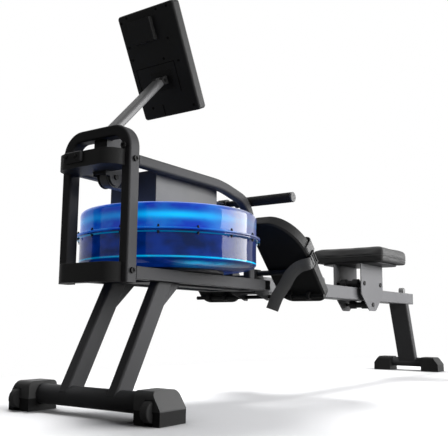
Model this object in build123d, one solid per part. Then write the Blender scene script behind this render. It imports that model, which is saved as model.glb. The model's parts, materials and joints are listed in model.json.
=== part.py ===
from build123d import *
import os
from math import atan2, cos, degrees, radians, sin, sqrt, tan

# Water rowing machine, millimetres. While it is modelled, X = 0 is the tank's axis, X runs from the
# tank to the seat, Y is across and Z = 0 is the floor. The last lines move X = 0 to mid-length.

# Clearances
run_gap = 0.05          # radial, shafts and pins that turn in their holes
hole_gap = 0.1          # radial, fixed bolts in their holes
face_gap = 0.3          # between faces on pieces that move apart
clear_gap = 1.5         # between moving pieces that only pass each other
over = 1.0              # cutters run this far past the faces they cut
far = 3000.0            # longer than anything here, for cutters that keep one side

# Base frame under the tank
base_z = 312.0          # underside of the side rails
base_tube_h = 30.0
base_tube_w = 26.0
base_wall = 2.0
base_rear = 345.0       # rear face of the rear cross member
cross_depth = 30.0      # cross members, along X
leg_cross_depth = 60.0  # cross member over the front legs
spine_w = 50.0

# Front hoop and top tubes
hoop_x = -266.0
hoop_half = 100.0       # post centres from the middle
hoop_top = 680.0
hoop_w = 28.0           # tube width in the hoop's own plane
hoop_d = 34.0           # tube depth along X
hoop_bend = 46.0
hoop_wall = 2.0
hoop_corner = 5.0
hoop_drop = 8.0         # posts reach this far below the side rails
top_tube_w = 26.0
top_tube_h = 27.0
top_tube_lift = 90.8    # tube centre above the tank's top
top_tube_bend_x = 54.0  # where the first bend starts
top_tube_bend = 400.0
top_tube_slope = 12.0
top_tube_rear_bend = 75.0
top_tube_rear_gap = 14.5  # rear run behind the tank's flange
tube_corner = 6.0

# Bowed covers on the front of the hoop
guard_half = 98.0
guard_depth = 45.0
guard_height = 38.0
guard_drop = 17.5       # guard's underside below the top tubes' centre
guard_wall = 2.5
guard_corner = 42.0
guard_rear = 30.0       # floor of the guard reaches this far behind the posts' front
bar_depth = 32.0
bar_height = 46.0
bar_corner = 38.0
bar_wall = 3.0
guard_bolt_up = 3.0     # guard bolts' heads above its rim

# Tank
cradle_thick = 8.0
cradle_radius = 150.0
tank_radius = 237.5
tank_wall = 4.0
tank_height = 151.7
tank_split = 82.7       # foot to the parting plane
tank_foot_radius = 165.0
tank_bowl = 18.0
tank_shoulder = 14.0
flange_reach = 10.3
flange_thick = 4.0
seal_thick = 2.0
seal_width = 6.0
tank_screw_count = 16
tank_screw_r = 2.0
tank_screw_out = 6.2    # screws outside the tank's body
tank_screw_head_r = 3.8
tank_screw_head = 3.0
water_depth = 84.0
fill_x = 180.0
fill_r = 16.0
plug_head = 6.0

# Paddle and shaft inside the tank
shaft_r = 10.0
bearing_r = 22.0
bearing_h = 12.0
paddle_r = 150.0
paddle_h = 62.0
paddle_lift = 8.0       # above the tank's inner floor
paddle_thick = 4.0
paddle_count = 4
paddle_sweep_gap = 6.0
paddle_turn = 45.0
hub_r = 20.0
shaft_stub = 4.0        # shaft above the strap drum

# Drive housing above the tank and the strap drum
housing_front = -148.0
housing_rear = 113.0
housing_side_gap = 9.0
housing_h = 92.0
housing_wall = 2.0
tab_len = 40.0
tab_thick = 8.0
drum_r = 29.0
drum_flange_r = 40.0
drum_flange = 3.0
drum_lift = 22.0        # underside above the tank's top
strap_w = 25.0
strap_t = 1.6
slot_side = 4.0         # room beside the strap in the housing's slots

# Front pulley in its mast
pulley_x = -233.0
pulley_lift = 62.0      # axle above the tank's top
pulley_r = 25.0
pulley_groove_r = 21.0
pulley_half = 17.0
pulley_axle_r = 6.0
pulley_axle_out = 4.0   # axle beyond the mast's cheeks
mast_wall = 4.0
mast_front = -268.0
mast_rear = -205.0
mast_foot_r = 21.0

# Monitor and its arm
arm_w = 38.0
arm_t = 20.0
arm_corner = 8.0
arm_mid_x = -226.0      # a point on the arm's axis, just above the hoop
arm_mid_rise = 12.0
hinge_r = 5.0
knuckle_r = 11.0
knuckle_half = 6.3
neck_t = 16.0
hinge_back = 14.0       # hinge axis behind the case
hinge_up = 98.0         # hinge axis above the case's lower edge
monitor_x = -53.5       # hinge axis
monitor_z = 868.8
monitor_tilt = 26.2
monitor_w = 198.0
monitor_h = 295.0
monitor_t = 28.0
monitor_corner = 9.0
monitor_round = 6.0
boss_w = 78.0           # boss high on the back
boss_h = 62.0
boss_y = 20.0
boss_up = 240.0
screen_w = 150.0
screen_h = 168.0
screen_t = 2.5
button_r = 9.0
button_rise = 2.5
button_travel = 1.5
button_pitch = 44.0
button_up = 52.0

# Handle and its hooks
handle_x = 258.0
handle_drop = 21.5      # below the top tubes' centre
handle_half = 243.0
handle_bar_r = 9.0
grip_r = 14.7
grip_inner = 45.0
end_cap = 6.0
yoke_half = 16.0
yoke_depth = 16.0
hook_t = 6.0
hook_back = 9.0
hook_lip = 7.0
hook_foot = 38.0

# Seat rail and seat
rail_z = 311.0
rail_h = 50.0
rail_w = 80.0
rail_wall = 3.0
rail_corner = 4.0
rail_inner_corner = 1.5
rail_rear = 1792.0
rail_cap = 8.0
stop_r = 14.0
stop_half = 12.0
front_stop_x = 900.0
rear_stop_x = 1752.0
seat_x = 1249.0
carriage_len = 224.0
carriage_half = 61.0
plate_t = 4.0
plate_top = 458.0
plate_foot = 269.0
plate_taper_z = 335.0
plate_foot_len = 63.0
plate_round = 26.0
roller_r = 17.6
lower_roller_r = 16.0
roller_pitch = 167.0
roller_inner = 14.0
roller_waist = 12.0
roller_end_in = 2.0     # rollers' ends inside the rail's sides
roller_axle_r = 5.0
axle_head_r = 9.0
axle_head = 4.0
pan_t = 6.0
pan_len = 240.0
pan_w = 250.0
pan_corner = 38.5
pad_len = 270.0
pad_w = 316.0
pad_t = 59.0
pad_corner = 55.0
pad_round = 17.7
pad_x = 20.0            # pad's middle behind the carriage's middle

# Footplates
heel_x = 490.0
heel_z = 290.0
foot_slope = 46.0
foot_len = 308.0
foot_w = 160.0
foot_t = 14.0
foot_y = 156.0
foot_edge = 5.0         # bevel round the underside
toe_start = 173.0       # where the outer side starts to curve in
toe_across = 101.0      # width of that curve
toe_inner_r = 25.0
heel_outer_r = 32.0
heel_inner_r = 45.0
rim_wall = 5.0
rim_heel = 16.0
rim_heel_len = 90.0
rim_wing = 24.0         # rim beside the ball of the foot
rim_wing_start = 183.0
rim_wing_end = 256.0
rim_toe = 5.0
pedal_axle_r = 6.0
pedal_axle_x = 449.0
pedal_axle_z = 298.0
pedal_axle_half = 240.0
lug_r = 12.0
lug_t = 10.0
lug_half = 32.0
bracket_t = 5.0
stop_along = 130.0      # stop stub under the footplate, from the heel
stub_r = 8.0
stub_half = 160.0
webbing_w = 38.0
webbing_t = 2.0
webbing_along = 188.0
webbing_arch = 46.0
webbing_round = 20.0
buckle_along = 159.0
buckle_mid = 0.0        # buckle's middle above the sole
buckle_len = 44.0
buckle_h = 30.0
buckle_t = 7.0
buckle_round = 4.0
tail_w = 38.0
tail_facing = (-0.8, -0.35, -0.5)
tail_route = ((-12, 5, -6), (-19, 34, -15), (-19, 61, -35), (-10, 87, -66), (-3, 117, -100), (10, 143, -138))
left_tail_steps = 4     # the far strap is drawn tighter, its tail is shorter

# Front legs, stabilisers and feet
leg_y = 79.0
leg_w = 30.0
leg_d = 50.0
leg_wall = 2.5
leg_top_x = -121.0
front_tube_x = -264.0
front_tube_z = 40.0
front_tube_r = 24.0
tube_wall = 2.5
gusset_t = 5.0
gusset_len = 46.0
gusset_h = 74.0
foot_inner = 169.0
foot_outer = 242.0
foot_front = 44.0       # cap's reach before the tube's axis
foot_back = 43.0
foot_top = 71.0
foot_end_z = 33.0       # height of the cap's upright outer face
foot_bevel = 24.0
foot_round = 14.0
socket_depth = 22.0
wheel_r = 23.0
wheel_w = 20.0
wheel_x = -304.0
wheel_z = 29.0
wheel_y = 212.0
wheel_axle_r = 4.0
wheel_round = 3.0
wheel_pin_in = 6.0      # pin's outer end inside the cap
wheel_pin_bite = 2.0    # pin's inner end past the socket
rear_leg_w = 84.0
rear_leg_d = 36.0
rear_leg_top_x = 1706.0
rear_tube_x = 1809.0
rear_tube_z = 40.0
rear_tube_r = 21.0
rear_inner = 75.0
rear_outer = 155.0
rear_foot_front = 45.0
rear_foot_back = 46.0
rear_foot_top = 64.0

# Fasteners on the frame
bolt_r = 4.0
bolt_head_r = 7.0
bolt_head = 5.0
bolt_len = 10.0
hoop_bolt_z = 331.0
guard_bolt_in = 10.0    # guard bolts from the post's inner face

# Heights and places that follow
base_top = base_z + base_tube_h
tank_z = base_top + cradle_thick
tank_top = tank_z + tank_height
split_z = tank_z + tank_split
top_tube_z = tank_top + top_tube_lift
pulley_z = tank_top + pulley_lift
handle_z = top_tube_z - handle_drop
housing_top = tank_top + housing_h
housing_half = hoop_half - top_tube_w / 2 - housing_side_gap
hoop_front = hoop_x - hoop_d / 2
hoop_rear = hoop_x + hoop_d / 2
hoop_z = base_z - hoop_drop
tube_inner = hoop_half - top_tube_w / 2
rail_top = rail_z + rail_h
flange_r = tank_radius + flange_reach
drum_z = tank_top + drum_lift
drum_h = strap_w + 2 * (drum_flange + face_gap)
guard_z = top_tube_z - guard_drop
front_reach = guard_depth - hoop_front
rear_reach = rear_tube_x + rear_foot_back
shift_x = (front_reach - rear_reach) / 2
seat_plane = plate_top + pan_t


def block(x0, x1, y0, y1, z0, z1):
    return Pos((x0 + x1) / 2, (y0 + y1) / 2, (z0 + z1) / 2) * Box(x1 - x0, y1 - y0, z1 - z0)


def rod_y(x, z, r, y0, y1):
    return Pos(x, (y0 + y1) / 2, z) * Rot(90, 0, 0) * Cylinder(r, y1 - y0)


def rod_x(y, z, r, x0, x1):
    return Pos((x0 + x1) / 2, y, z) * Rot(0, 90, 0) * Cylinder(r, x1 - x0)


def rod_z(x, y, r, z0, z1):
    return Pos(x, y, (z0 + z1) / 2) * Cylinder(r, z1 - z0)


def ring_z(r_out, r_in, z0, z1):
    return rod_z(0, 0, r_out, z0, z1) - rod_z(0, 0, r_in, z0 - over, z1 + over)


def side_plate(points, y0, y1):
    face = make_face(Plane.XZ * Polyline(*points, close=True))
    return Pos(0, y1, 0) * extrude(face, amount=y1 - y0, dir=(0, -1, 0))


def tube_face(w, h, wall, corner):
    return RectangleRounded(w, h, corner) - RectangleRounded(w - 2 * wall, h - 2 * wall, corner - wall)


def box_tube_x(x0, x1, y, w, z0, h, wall):
    outer = block(x0, x1, y - w / 2, y + w / 2, z0, z0 + h)
    return outer - block(x0 - over, x1 + over, y - w / 2 + wall, y + w / 2 - wall, z0 + wall, z0 + h - wall)


def box_tube_y(y0, y1, x0, depth, z0, h, wall):
    outer = block(x0, x0 + depth, y0, y1, z0, z0 + h)
    return outer - block(x0 + wall, x0 + depth - wall, y0 - over, y1 + over, z0 + wall, z0 + h - wall)


def mirror_y(shape):
    return mirror(shape, about=Plane.XZ)


def side(shape, sign):
    return shape if sign < 0 else mirror_y(shape)


def bolt_y(x, z, y_face, sign):
    head = rod_y(x, z, bolt_head_r, y_face, y_face + bolt_head)
    shank = rod_y(x, z, bolt_r, y_face - bolt_len, y_face)
    recess = rod_y(x, z, bolt_r, y_face + bolt_head / 2, y_face + bolt_head + over)
    return side(mirror_y(head + shank - recess), sign)


def bolt_x(y, z, x_face):
    head = rod_x(y, z, bolt_head_r, x_face - bolt_head, x_face)
    shank = rod_x(y, z, bolt_r, x_face, x_face + bolt_len)
    recess = rod_x(y, z, bolt_r, x_face - bolt_head - over, x_face - bolt_head / 2)
    return head + shank - recess


def hoop_bolt_holes():
    shape = rod_y(hoop_x, top_tube_z, bolt_r + hole_gap, -far, far)
    shape += rod_y(hoop_x, hoop_bolt_z, bolt_r + hole_gap, -far, far)
    for sign in (-1, 1):
        shape += rod_x(sign * guard_bolt_y, guard_bolt_z, bolt_r + hole_gap,
                       hoop_front - guard_depth, hoop_front + bolt_len + over)
    return shape


guard_bolt_y = hoop_half - hoop_w / 2 + guard_bolt_in
guard_bolt_z = guard_z + guard_height + bolt_head_r + guard_bolt_up


# Front hoop: one bent tube
def front_hoop():
    centre_top = hoop_top - hoop_w / 2
    path = FilletPolyline((hoop_x, -hoop_half, hoop_z), (hoop_x, -hoop_half, centre_top),
                          (hoop_x, hoop_half, centre_top), (hoop_x, hoop_half, hoop_z), radius=hoop_bend)
    start = Plane(origin=(hoop_x, -hoop_half, hoop_z), x_dir=(1, 0, 0), z_dir=(0, 0, 1))
    return sweep(start * tube_face(hoop_d, hoop_w, hoop_wall, hoop_corner), path) - hoop_bolt_holes()


# Top tube: level over the tank, then down behind it to the side rail
def top_tube():
    lead = top_tube_bend * tan(radians(top_tube_slope / 2))
    knee_x = top_tube_bend_x + lead
    rear_x = sqrt(flange_r ** 2 - tube_inner ** 2) + top_tube_rear_gap
    rear_z = top_tube_z - (rear_x - knee_x) * tan(radians(top_tube_slope))
    points = ((hoop_rear, -hoop_half, top_tube_z), (knee_x, -hoop_half, top_tube_z),
              (rear_x, -hoop_half, rear_z), (rear_x, -hoop_half, base_top))
    path = FilletPolyline(*points, radius=[top_tube_bend, top_tube_rear_bend])
    start = Plane(origin=points[0], x_dir=(0, 1, 0), z_dir=(1, 0, 0))
    return sweep(start * tube_face(top_tube_w, top_tube_h, hoop_wall, tube_corner), path)


# Welded base: side rails, cross members and spine
def base_frame():
    frame = Part()
    inner = hoop_half - base_tube_w / 2
    for sign in (-1, 1):
        frame += box_tube_x(hoop_rear, base_rear - cross_depth, sign * hoop_half, base_tube_w,
                            base_z, base_tube_h, base_wall)
    frame += box_tube_y(-inner, inner, hoop_rear, cross_depth, base_z, base_tube_h, base_wall)
    frame += box_tube_y(-inner, inner, leg_top_x - leg_d / 2, leg_cross_depth, base_z, base_tube_h, base_wall)
    outer = hoop_half + base_tube_w / 2
    frame += box_tube_y(-outer, outer, base_rear - cross_depth, cross_depth, base_z, base_tube_h, base_wall)
    spine_front = leg_top_x - leg_d / 2 + leg_cross_depth
    frame += box_tube_x(spine_front, base_rear - cross_depth, 0, spine_w, base_z, base_tube_h, base_wall)
    return frame


def bowed_cover(depth, corner, z0, z1, wall):
    x1 = hoop_front
    plan = Pos(x1 - depth, 0) * Rectangle(2 * depth, 2 * guard_half, align=(Align.MIN, Align.CENTER))
    rounded = fillet(plan.vertices().group_by(Axis.X)[0], corner)
    inner = offset(rounded, amount=-wall)
    keep = block(x1 - depth - over, x1, -guard_half - over, guard_half + over, z0 - over, z1 + over)
    outer_solid = extrude(Pos(0, 0, z0) * rounded, amount=z1 - z0) & keep
    inner_solid = extrude(Pos(0, 0, z0) * inner, amount=z1 - z0)
    return outer_solid, inner_solid


# Guard: a bowed front wall, a floor with a slot for the pulley, and two ears on the posts
def pulley_guard():
    z1 = guard_z + guard_height
    outer, inner = bowed_cover(guard_depth, guard_corner, guard_z, z1, guard_wall)
    shell = outer - Pos(0, 0, guard_wall) * inner
    floor_half = hoop_half - hoop_w / 2 - clear_gap
    shell += block(hoop_front, hoop_front + guard_rear, -floor_half, floor_half,
                   guard_z, guard_z + guard_wall)
    shell -= block(mast_front - clear_gap, 0, -arm_w / 2 - mast_wall - clear_gap,
                   arm_w / 2 + mast_wall + clear_gap, guard_z - over, z1)
    for sign in (-1, 1):
        ear_in = hoop_half - hoop_w / 2
        ear = block(hoop_front - guard_wall, hoop_front, ear_in, guard_half, z1 - guard_height / 2,
                    guard_bolt_z + bolt_head_r)
        shell += side(mirror_y(ear), sign)
    return shell - hoop_bolt_holes()


def base_front_bar():
    z0 = hoop_z
    outer, inner = bowed_cover(bar_depth, bar_corner, z0, z0 + bar_height, bar_wall)
    cavity = inner & block(-far, 0, -guard_half, guard_half, z0 + bar_wall, z0 + bar_height - bar_wall)
    return outer - cavity


# Leaning legs are coped over their round tubes and cut level at the top
def lean_of(foot_x, foot_z, top_x, top_z):
    return atan2(top_x - foot_x, top_z - foot_z)


def leaning_leg(tube, y, top, depth, width):
    x, z, r = tube
    lean = lean_of(x, z, *top)
    start = Plane(origin=(x, y, z), x_dir=(cos(lean), 0, -sin(lean)), z_dir=(sin(lean), 0, cos(lean)))
    length = (top[1] - z) / cos(lean) + 2 * depth
    leg = extrude(start * tube_face(depth, width, leg_wall, tube_corner), amount=length)
    return (leg & block(-far, far, y - width, y + width, 0, top[1])) - rod_y(x, z, r, -far, far)


def front_leg():
    return leaning_leg((front_tube_x, front_tube_z, front_tube_r), -leg_y, (leg_top_x, base_z), leg_d, leg_w)


def leg_gusset():
    lean = lean_of(front_tube_x, front_tube_z, leg_top_x, base_z)
    back = leg_top_x + leg_d / 2 / cos(lean)
    points = ((back, base_z), (back + gusset_len, base_z), (back - gusset_h * tan(lean), base_z - gusset_h))
    return side_plate(points, -leg_y - gusset_t / 2, -leg_y + gusset_t / 2)


# Round stabiliser tube and its moulded caps
def stabilizer(x, z, r, half):
    return rod_y(x, z, r, -half, half) - rod_y(x, z, r - tube_wall, -half - over, half + over)


def end_cap_block(x0, x1, inner, outer, top, end_z):
    points = ((-inner, 0), (-outer, 0), (-outer, end_z), (-outer + foot_bevel, top), (-inner, top))
    face = make_face(Plane.YZ * Polyline(*points, close=True))
    shape = Pos(x0, 0, 0) * extrude(face, amount=x1 - x0, dir=(1, 0, 0))
    upper = shape.edges().filter_by(Axis.Y).group_by(Axis.Z)[-1]
    return fillet(upper, foot_round)


def front_foot():
    shape = end_cap_block(front_tube_x - foot_front, front_tube_x + foot_back, foot_inner, foot_outer,
                          foot_top, foot_end_z)
    shape -= rod_y(front_tube_x, front_tube_z, front_tube_r, -foot_inner - socket_depth, -foot_inner + over)
    room = wheel_r + clear_gap
    half = wheel_w / 2 + clear_gap
    shape -= block(wheel_x - 2 * room, wheel_x + room, -wheel_y - half, -wheel_y + half, -over, wheel_z + room)
    return shape - wheel_rod(wheel_axle_r + hole_gap)


def wheel_rod(r):
    return rod_y(wheel_x, wheel_z, r, -foot_outer + wheel_pin_in, -foot_inner - socket_depth - wheel_pin_bite)


def transport_wheel():
    tyre = rod_y(wheel_x, wheel_z, wheel_r, -wheel_y - wheel_w / 2, -wheel_y + wheel_w / 2)
    tyre = fillet(tyre.edges().filter_by(GeomType.CIRCLE), wheel_round)
    return tyre - rod_y(wheel_x, wheel_z, wheel_axle_r + run_gap, -wheel_y - wheel_w, -wheel_y + wheel_w)


def rear_foot():
    shape = end_cap_block(rear_tube_x - rear_foot_front, rear_tube_x + rear_foot_back, rear_inner, rear_outer,
                          rear_foot_top, foot_end_z)
    return shape - rod_y(rear_tube_x, rear_tube_z, rear_tube_r, -rear_inner - socket_depth, -rear_inner + over)


def rear_leg():
    return leaning_leg((rear_tube_x, rear_tube_z, rear_tube_r), 0, (rear_leg_top_x, rail_z), rear_leg_d, rear_leg_w)


# Tank shells meet at a bolted flange with a flat seal between them
def revolve_shell(points):
    return revolve(make_face(Plane.XZ * Polyline(*points, close=True)), Axis.Z)


def tank_screw_places():
    r = tank_radius + tank_screw_out
    return [(r * cos(radians(a)), r * sin(radians(a))) for a in
            [360 / tank_screw_count * (i + 0.5) for i in range(tank_screw_count)]]


def drill_flange(shape):
    for x, y in tank_screw_places():
        shape -= rod_z(x, y, tank_screw_r + hole_gap, split_z - 3 * flange_thick, split_z + 3 * flange_thick)
    return shape


def tank_lower_shell():
    top = split_z - seal_thick / 2
    bowl_z = tank_z + tank_bowl
    inner = tank_radius - tank_wall
    points = ((0, tank_z), (tank_foot_radius, tank_z), (tank_radius, bowl_z),
              (tank_radius, top - flange_thick), (flange_r, top - flange_thick), (flange_r, top),
              (inner, top), (inner, bowl_z + tank_wall / 2),
              (tank_foot_radius - tank_wall / 2, tank_z + tank_wall), (0, tank_z + tank_wall))
    return drill_flange(revolve_shell(points))


def tank_upper_shell():
    z0 = split_z + seal_thick / 2
    inner = tank_radius - tank_wall
    edge = tank_radius - tank_shoulder
    points = ((inner, z0), (flange_r, z0), (flange_r, z0 + flange_thick), (tank_radius, z0 + flange_thick),
              (tank_radius, tank_top - tank_shoulder), (edge, tank_top), (bearing_r + hole_gap, tank_top),
              (bearing_r + hole_gap, tank_top - tank_wall), (edge - tank_wall / 2, tank_top - tank_wall),
              (inner, tank_top - tank_shoulder - tank_wall / 2))
    shell = revolve_shell(points)
    shell -= rod_z(fill_x, 0, fill_r + face_gap, tank_top - 2 * tank_wall, tank_top + over)
    return drill_flange(shell)


def tank_seal():
    r0 = tank_radius - tank_wall
    return ring_z(r0 + seal_width, r0, split_z - seal_thick / 2, split_z + seal_thick / 2)


def tank_screws():
    reach = seal_thick / 2 + flange_thick
    screws = []
    for x, y in tank_screw_places():
        low = split_z - reach
        high = split_z + reach
        screw = rod_z(x, y, tank_screw_r, low - tank_screw_head, high + tank_screw_head)
        screw += rod_z(x, y, tank_screw_head_r, high, high + tank_screw_head)
        screws.append(screw + rod_z(x, y, tank_screw_head_r, low - tank_screw_head, low))
    return screws


def tank_water():
    floor_z = tank_z + tank_wall
    inner = tank_radius - tank_wall - face_gap
    swept = paddle_r + paddle_sweep_gap
    points = ((swept, floor_z + face_gap), (tank_foot_radius - tank_wall, floor_z + face_gap),
              (inner, tank_z + tank_bowl + tank_wall), (inner, floor_z + water_depth),
              (swept, floor_z + water_depth))
    return revolve_shell(points)


def fill_plug():
    shank = rod_z(fill_x, 0, fill_r, tank_top - 2 * tank_wall, tank_top + face_gap)
    return shank + rod_z(fill_x, 0, fill_r + plug_head, tank_top + face_gap, tank_top + face_gap + plug_head)


def tank_cradle():
    return rod_z(0, 0, cradle_radius, base_top, base_top + cradle_thick)


# Shaft in two bearings, with the paddle low in the tank
def lower_bearing():
    z0 = tank_z + tank_wall
    return ring_z(bearing_r, shaft_r + run_gap, z0, z0 + bearing_h / 2)


def upper_bearing():
    z0 = tank_top - bearing_h / 2
    return ring_z(bearing_r, shaft_r + run_gap, z0, z0 + bearing_h)


def impeller():
    z0 = tank_z + tank_wall + bearing_h / 2 + face_gap
    top = drum_z + drum_h + shaft_stub
    shape = rod_z(0, 0, shaft_r, tank_z + tank_wall + face_gap, top)
    blade_z = z0 + paddle_lift
    shape += rod_z(0, 0, hub_r, blade_z, blade_z + paddle_h)
    for i in range(paddle_count):
        blade = block(shaft_r, paddle_r, -paddle_thick / 2, paddle_thick / 2, blade_z, blade_z + paddle_h)
        shape += Rot(0, 0, paddle_turn + 360 / paddle_count * i) * blade
    return shape


def strap_drum():
    top = drum_z + drum_h
    shape = rod_z(0, 0, drum_r, drum_z, top)
    shape += rod_z(0, 0, drum_flange_r, drum_z, drum_z + drum_flange)
    shape += rod_z(0, 0, drum_flange_r, top - drum_flange, top)
    return shape - rod_z(0, 0, shaft_r + run_gap, drum_z - over, top + over)


# Housing: a folded box on the tank's top, tabbed to the top tubes
def drive_housing():
    shape = block(housing_front, housing_rear, -housing_half, housing_half, tank_top, housing_top)
    shape -= block(housing_front + housing_wall, housing_rear - housing_wall, -housing_half + housing_wall,
                   housing_half - housing_wall, tank_top - over, housing_top - housing_wall)
    slot = strap_w / 2 + slot_side
    shape -= block(housing_front - over, housing_front + housing_wall + over, -slot, slot, drum_z, pulley_z + pulley_r)
    rear_slot_z = strap_height(housing_rear)
    shape -= block(housing_rear - housing_wall - over, housing_rear + over, -slot, slot,
                   rear_slot_z - slot_side * 2, rear_slot_z + slot_side * 2)
    for x in (housing_front + tab_len, housing_rear - tab_len):
        for sign in (-1, 1):
            tab = block(x - tab_len / 2, x + tab_len / 2, -tube_inner, -housing_half,
                        top_tube_z - tab_thick / 2, top_tube_z + tab_thick / 2)
            shape += side(tab, sign)
    return shape


# Strap: from the drum, quarter twist, round the front pulley and back to the handle
strap_r = pulley_groove_r + face_gap + strap_t / 2
strap_end_x = handle_x - yoke_depth
strap_dx = strap_end_x - pulley_x
strap_dz = handle_z - pulley_z
strap_tilt = atan2(strap_dz, strap_dx) - atan2(strap_r, sqrt(strap_dx ** 2 + strap_dz ** 2 - strap_r ** 2))


def strap_height(x):
    touch_x = pulley_x - strap_r * sin(strap_tilt)
    touch_z = pulley_z + strap_r * cos(strap_tilt)
    return touch_z + (x - touch_x) * tan(strap_tilt)


def drive_strap():
    angle = degrees(strap_tilt)
    upper = 90 + angle
    path = CenterArc((0, 0), strap_r, upper, 270 - upper)
    wrap = Plane.XZ * Pos(pulley_x, pulley_z) * make_face(offset(path, strap_t / 2, side=Side.BOTH))
    shape = extrude(wrap, amount=strap_w / 2, both=True)
    touch_x = pulley_x - strap_r * sin(strap_tilt)
    tip_x = strap_end_x - hole_gap
    run = (tip_x - touch_x) / cos(strap_tilt)
    middle = Pos((touch_x + tip_x) / 2, 0, (strap_height(touch_x) + strap_height(tip_x)) / 2)
    shape += middle * Rot(0, -angle, 0) * Box(run, strap_w, strap_t)
    flat_x = housing_front - slot_side
    low_z = pulley_z - strap_r
    shape += block(pulley_x, flat_x, -strap_w / 2, strap_w / 2, low_z - strap_t / 2, low_z + strap_t / 2)
    groove_y = drum_r + face_gap + strap_t / 2
    groove_z = drum_z + drum_h / 2
    lead_x = -drum_flange_r - clear_gap
    band = Rectangle(strap_w, strap_t)
    flat = Plane(origin=(flat_x, 0, low_z), x_dir=(0, 1, 0), z_dir=(1, 0, 0)) * band
    half = Plane(origin=((flat_x + lead_x) / 2, groove_y / 2, (low_z + groove_z) / 2), x_dir=(0, 1, 1),
                 z_dir=(1, 0, 0)) * band
    upright = Plane(origin=(lead_x, groove_y, groove_z), x_dir=(0, 0, 1), z_dir=(1, 0, 0)) * band
    shape += loft([flat, half, upright])
    return shape + block(lead_x, 0, groove_y - strap_t / 2, groove_y + strap_t / 2, groove_z - strap_w / 2,
                         groove_z + strap_w / 2)


def front_pulley():
    rim = pulley_half - strap_w / 2 - clear_gap
    shape = rod_y(pulley_x, pulley_z, pulley_groove_r, -pulley_half, pulley_half)
    for sign in (-1, 1):
        flange = rod_y(pulley_x, pulley_z, pulley_r, -pulley_half, -pulley_half + rim)
        shape += side(flange, sign)
    return shape - rod_y(pulley_x, pulley_z, pulley_axle_r + run_gap, -pulley_half - over, pulley_half + over)


mast_half = pulley_half + clear_gap / 2 + mast_wall


def pulley_axle():
    return rod_y(pulley_x, pulley_z, pulley_axle_r, -mast_half - pulley_axle_out, mast_half + pulley_axle_out)


# Straight arm from the back of the hoop's top up to the monitor's hinge
arm_mid_z = hoop_top + arm_mid_rise
arm_dx = monitor_x - arm_mid_x
arm_dz = monitor_z - arm_mid_z
arm_lean = atan2(arm_dx, arm_dz)
arm_len = sqrt(arm_dx ** 2 + arm_dz ** 2)


def arm_under(x):
    return arm_mid_z + (x - arm_mid_x) / tan(arm_lean) - arm_t / 2 / sin(arm_lean)


# Mast: cheeks either side of the pulley, under the hoop's top and up to the arm's underside
def pulley_mast():
    bar_low = hoop_top - hoop_w
    points = ((mast_front, pulley_z), (mast_front, bar_low), (hoop_rear, bar_low), (hoop_rear, arm_under(hoop_rear)),
              (mast_rear, arm_under(mast_rear)), (mast_rear, pulley_z))
    shape = side_plate(points, -mast_half, mast_half)
    shape += rod_y(pulley_x, pulley_z, mast_foot_r, -mast_half, mast_half)
    room = pulley_half + clear_gap / 2
    shape -= block(mast_front + mast_wall, mast_rear + over, -room, room, pulley_z - 2 * pulley_r,
                   bar_low - mast_wall)
    shape -= block(mast_front - over, mast_rear + over, -room, room, pulley_z - 2 * pulley_r, pulley_z + mast_wall)
    return shape - rod_y(pulley_x, pulley_z, pulley_axle_r + hole_gap, -mast_half - over, mast_half + over)


def monitor_arm():
    end = knuckle_r + face_gap
    start = Plane(origin=(arm_mid_x, 0, arm_mid_z), x_dir=(0, 1, 0), z_dir=(sin(arm_lean), 0, cos(arm_lean)))
    tube = RectangleRounded(arm_w, arm_t, arm_corner)
    shape = extrude(start * tube, amount=arm_len - end) + extrude(start * tube, amount=-arm_w * 2)
    neck = Rectangle(2 * knuckle_half, neck_t)
    shape += extrude(start.offset(arm_len - end - over) * neck, amount=end + over)
    shape -= block(-far, hoop_rear, -arm_w, arm_w, 0, far)
    shape += rod_y(monitor_x, monitor_z, knuckle_r, -knuckle_half, knuckle_half)
    return shape - rod_y(monitor_x, monitor_z, hinge_r + hole_gap, -arm_w, arm_w)


def hinge_pin():
    return rod_y(monitor_x, monitor_z, hinge_r, -arm_w / 2, arm_w / 2)


def case_plane():
    tilt = radians(monitor_tilt)
    up = Vector(-sin(tilt), 0, cos(tilt))
    out = Vector(cos(tilt), 0, sin(tilt))
    corner = Vector(monitor_x, 0, monitor_z) - up * hinge_up + out * hinge_back
    return Plane(origin=corner, x_dir=(0, 1, 0), z_dir=out)


# Case with a boss high on its back, a hinge mount lower down and wells for the screen and buttons
def monitor_case():
    place = case_plane().location
    body = Pos(0, monitor_h / 2, monitor_t / 2) * Box(monitor_w, monitor_h, monitor_t)
    body = fillet(body.edges().filter_by(Axis.Z), monitor_corner)
    body = fillet(body.faces().sort_by(Axis.Z)[0].edges(), monitor_round)
    body += Pos(boss_y, boss_up, -hinge_back / 2) * Box(boss_w, boss_h, hinge_back)
    body -= Pos(0, monitor_h - screen_h / 2 - monitor_corner, monitor_t - screen_t / 2) * Box(
        screen_w + hole_gap * 2, screen_h + hole_gap * 2, screen_t)
    well = Cylinder(button_r + face_gap, 4 * button_travel + face_gap)
    for x in button_places():
        body -= Pos(x, button_up, monitor_t - button_travel) * well
    case = place * body
    for sign in (-1, 1):
        ear_y = knuckle_half + face_gap
        ear = Box(arm_w / 2 - ear_y, 2 * knuckle_r, hinge_back)
        ear = Pos(-(ear_y + arm_w / 2) / 2, hinge_up, -hinge_back / 2) * ear
        knuckle = rod_y(monitor_x, monitor_z, knuckle_r, -arm_w / 2, -ear_y)
        case += side(place * ear + knuckle, sign)
    return case - rod_y(monitor_x, monitor_z, hinge_r + run_gap, -arm_w, arm_w)


def button_places():
    return (-button_pitch, 0, button_pitch)


def monitor_screen():
    flat = Pos(0, monitor_h - screen_h / 2 - monitor_corner, monitor_t - screen_t / 2)
    return case_plane().location * flat * Box(screen_w, screen_h, screen_t)


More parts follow.
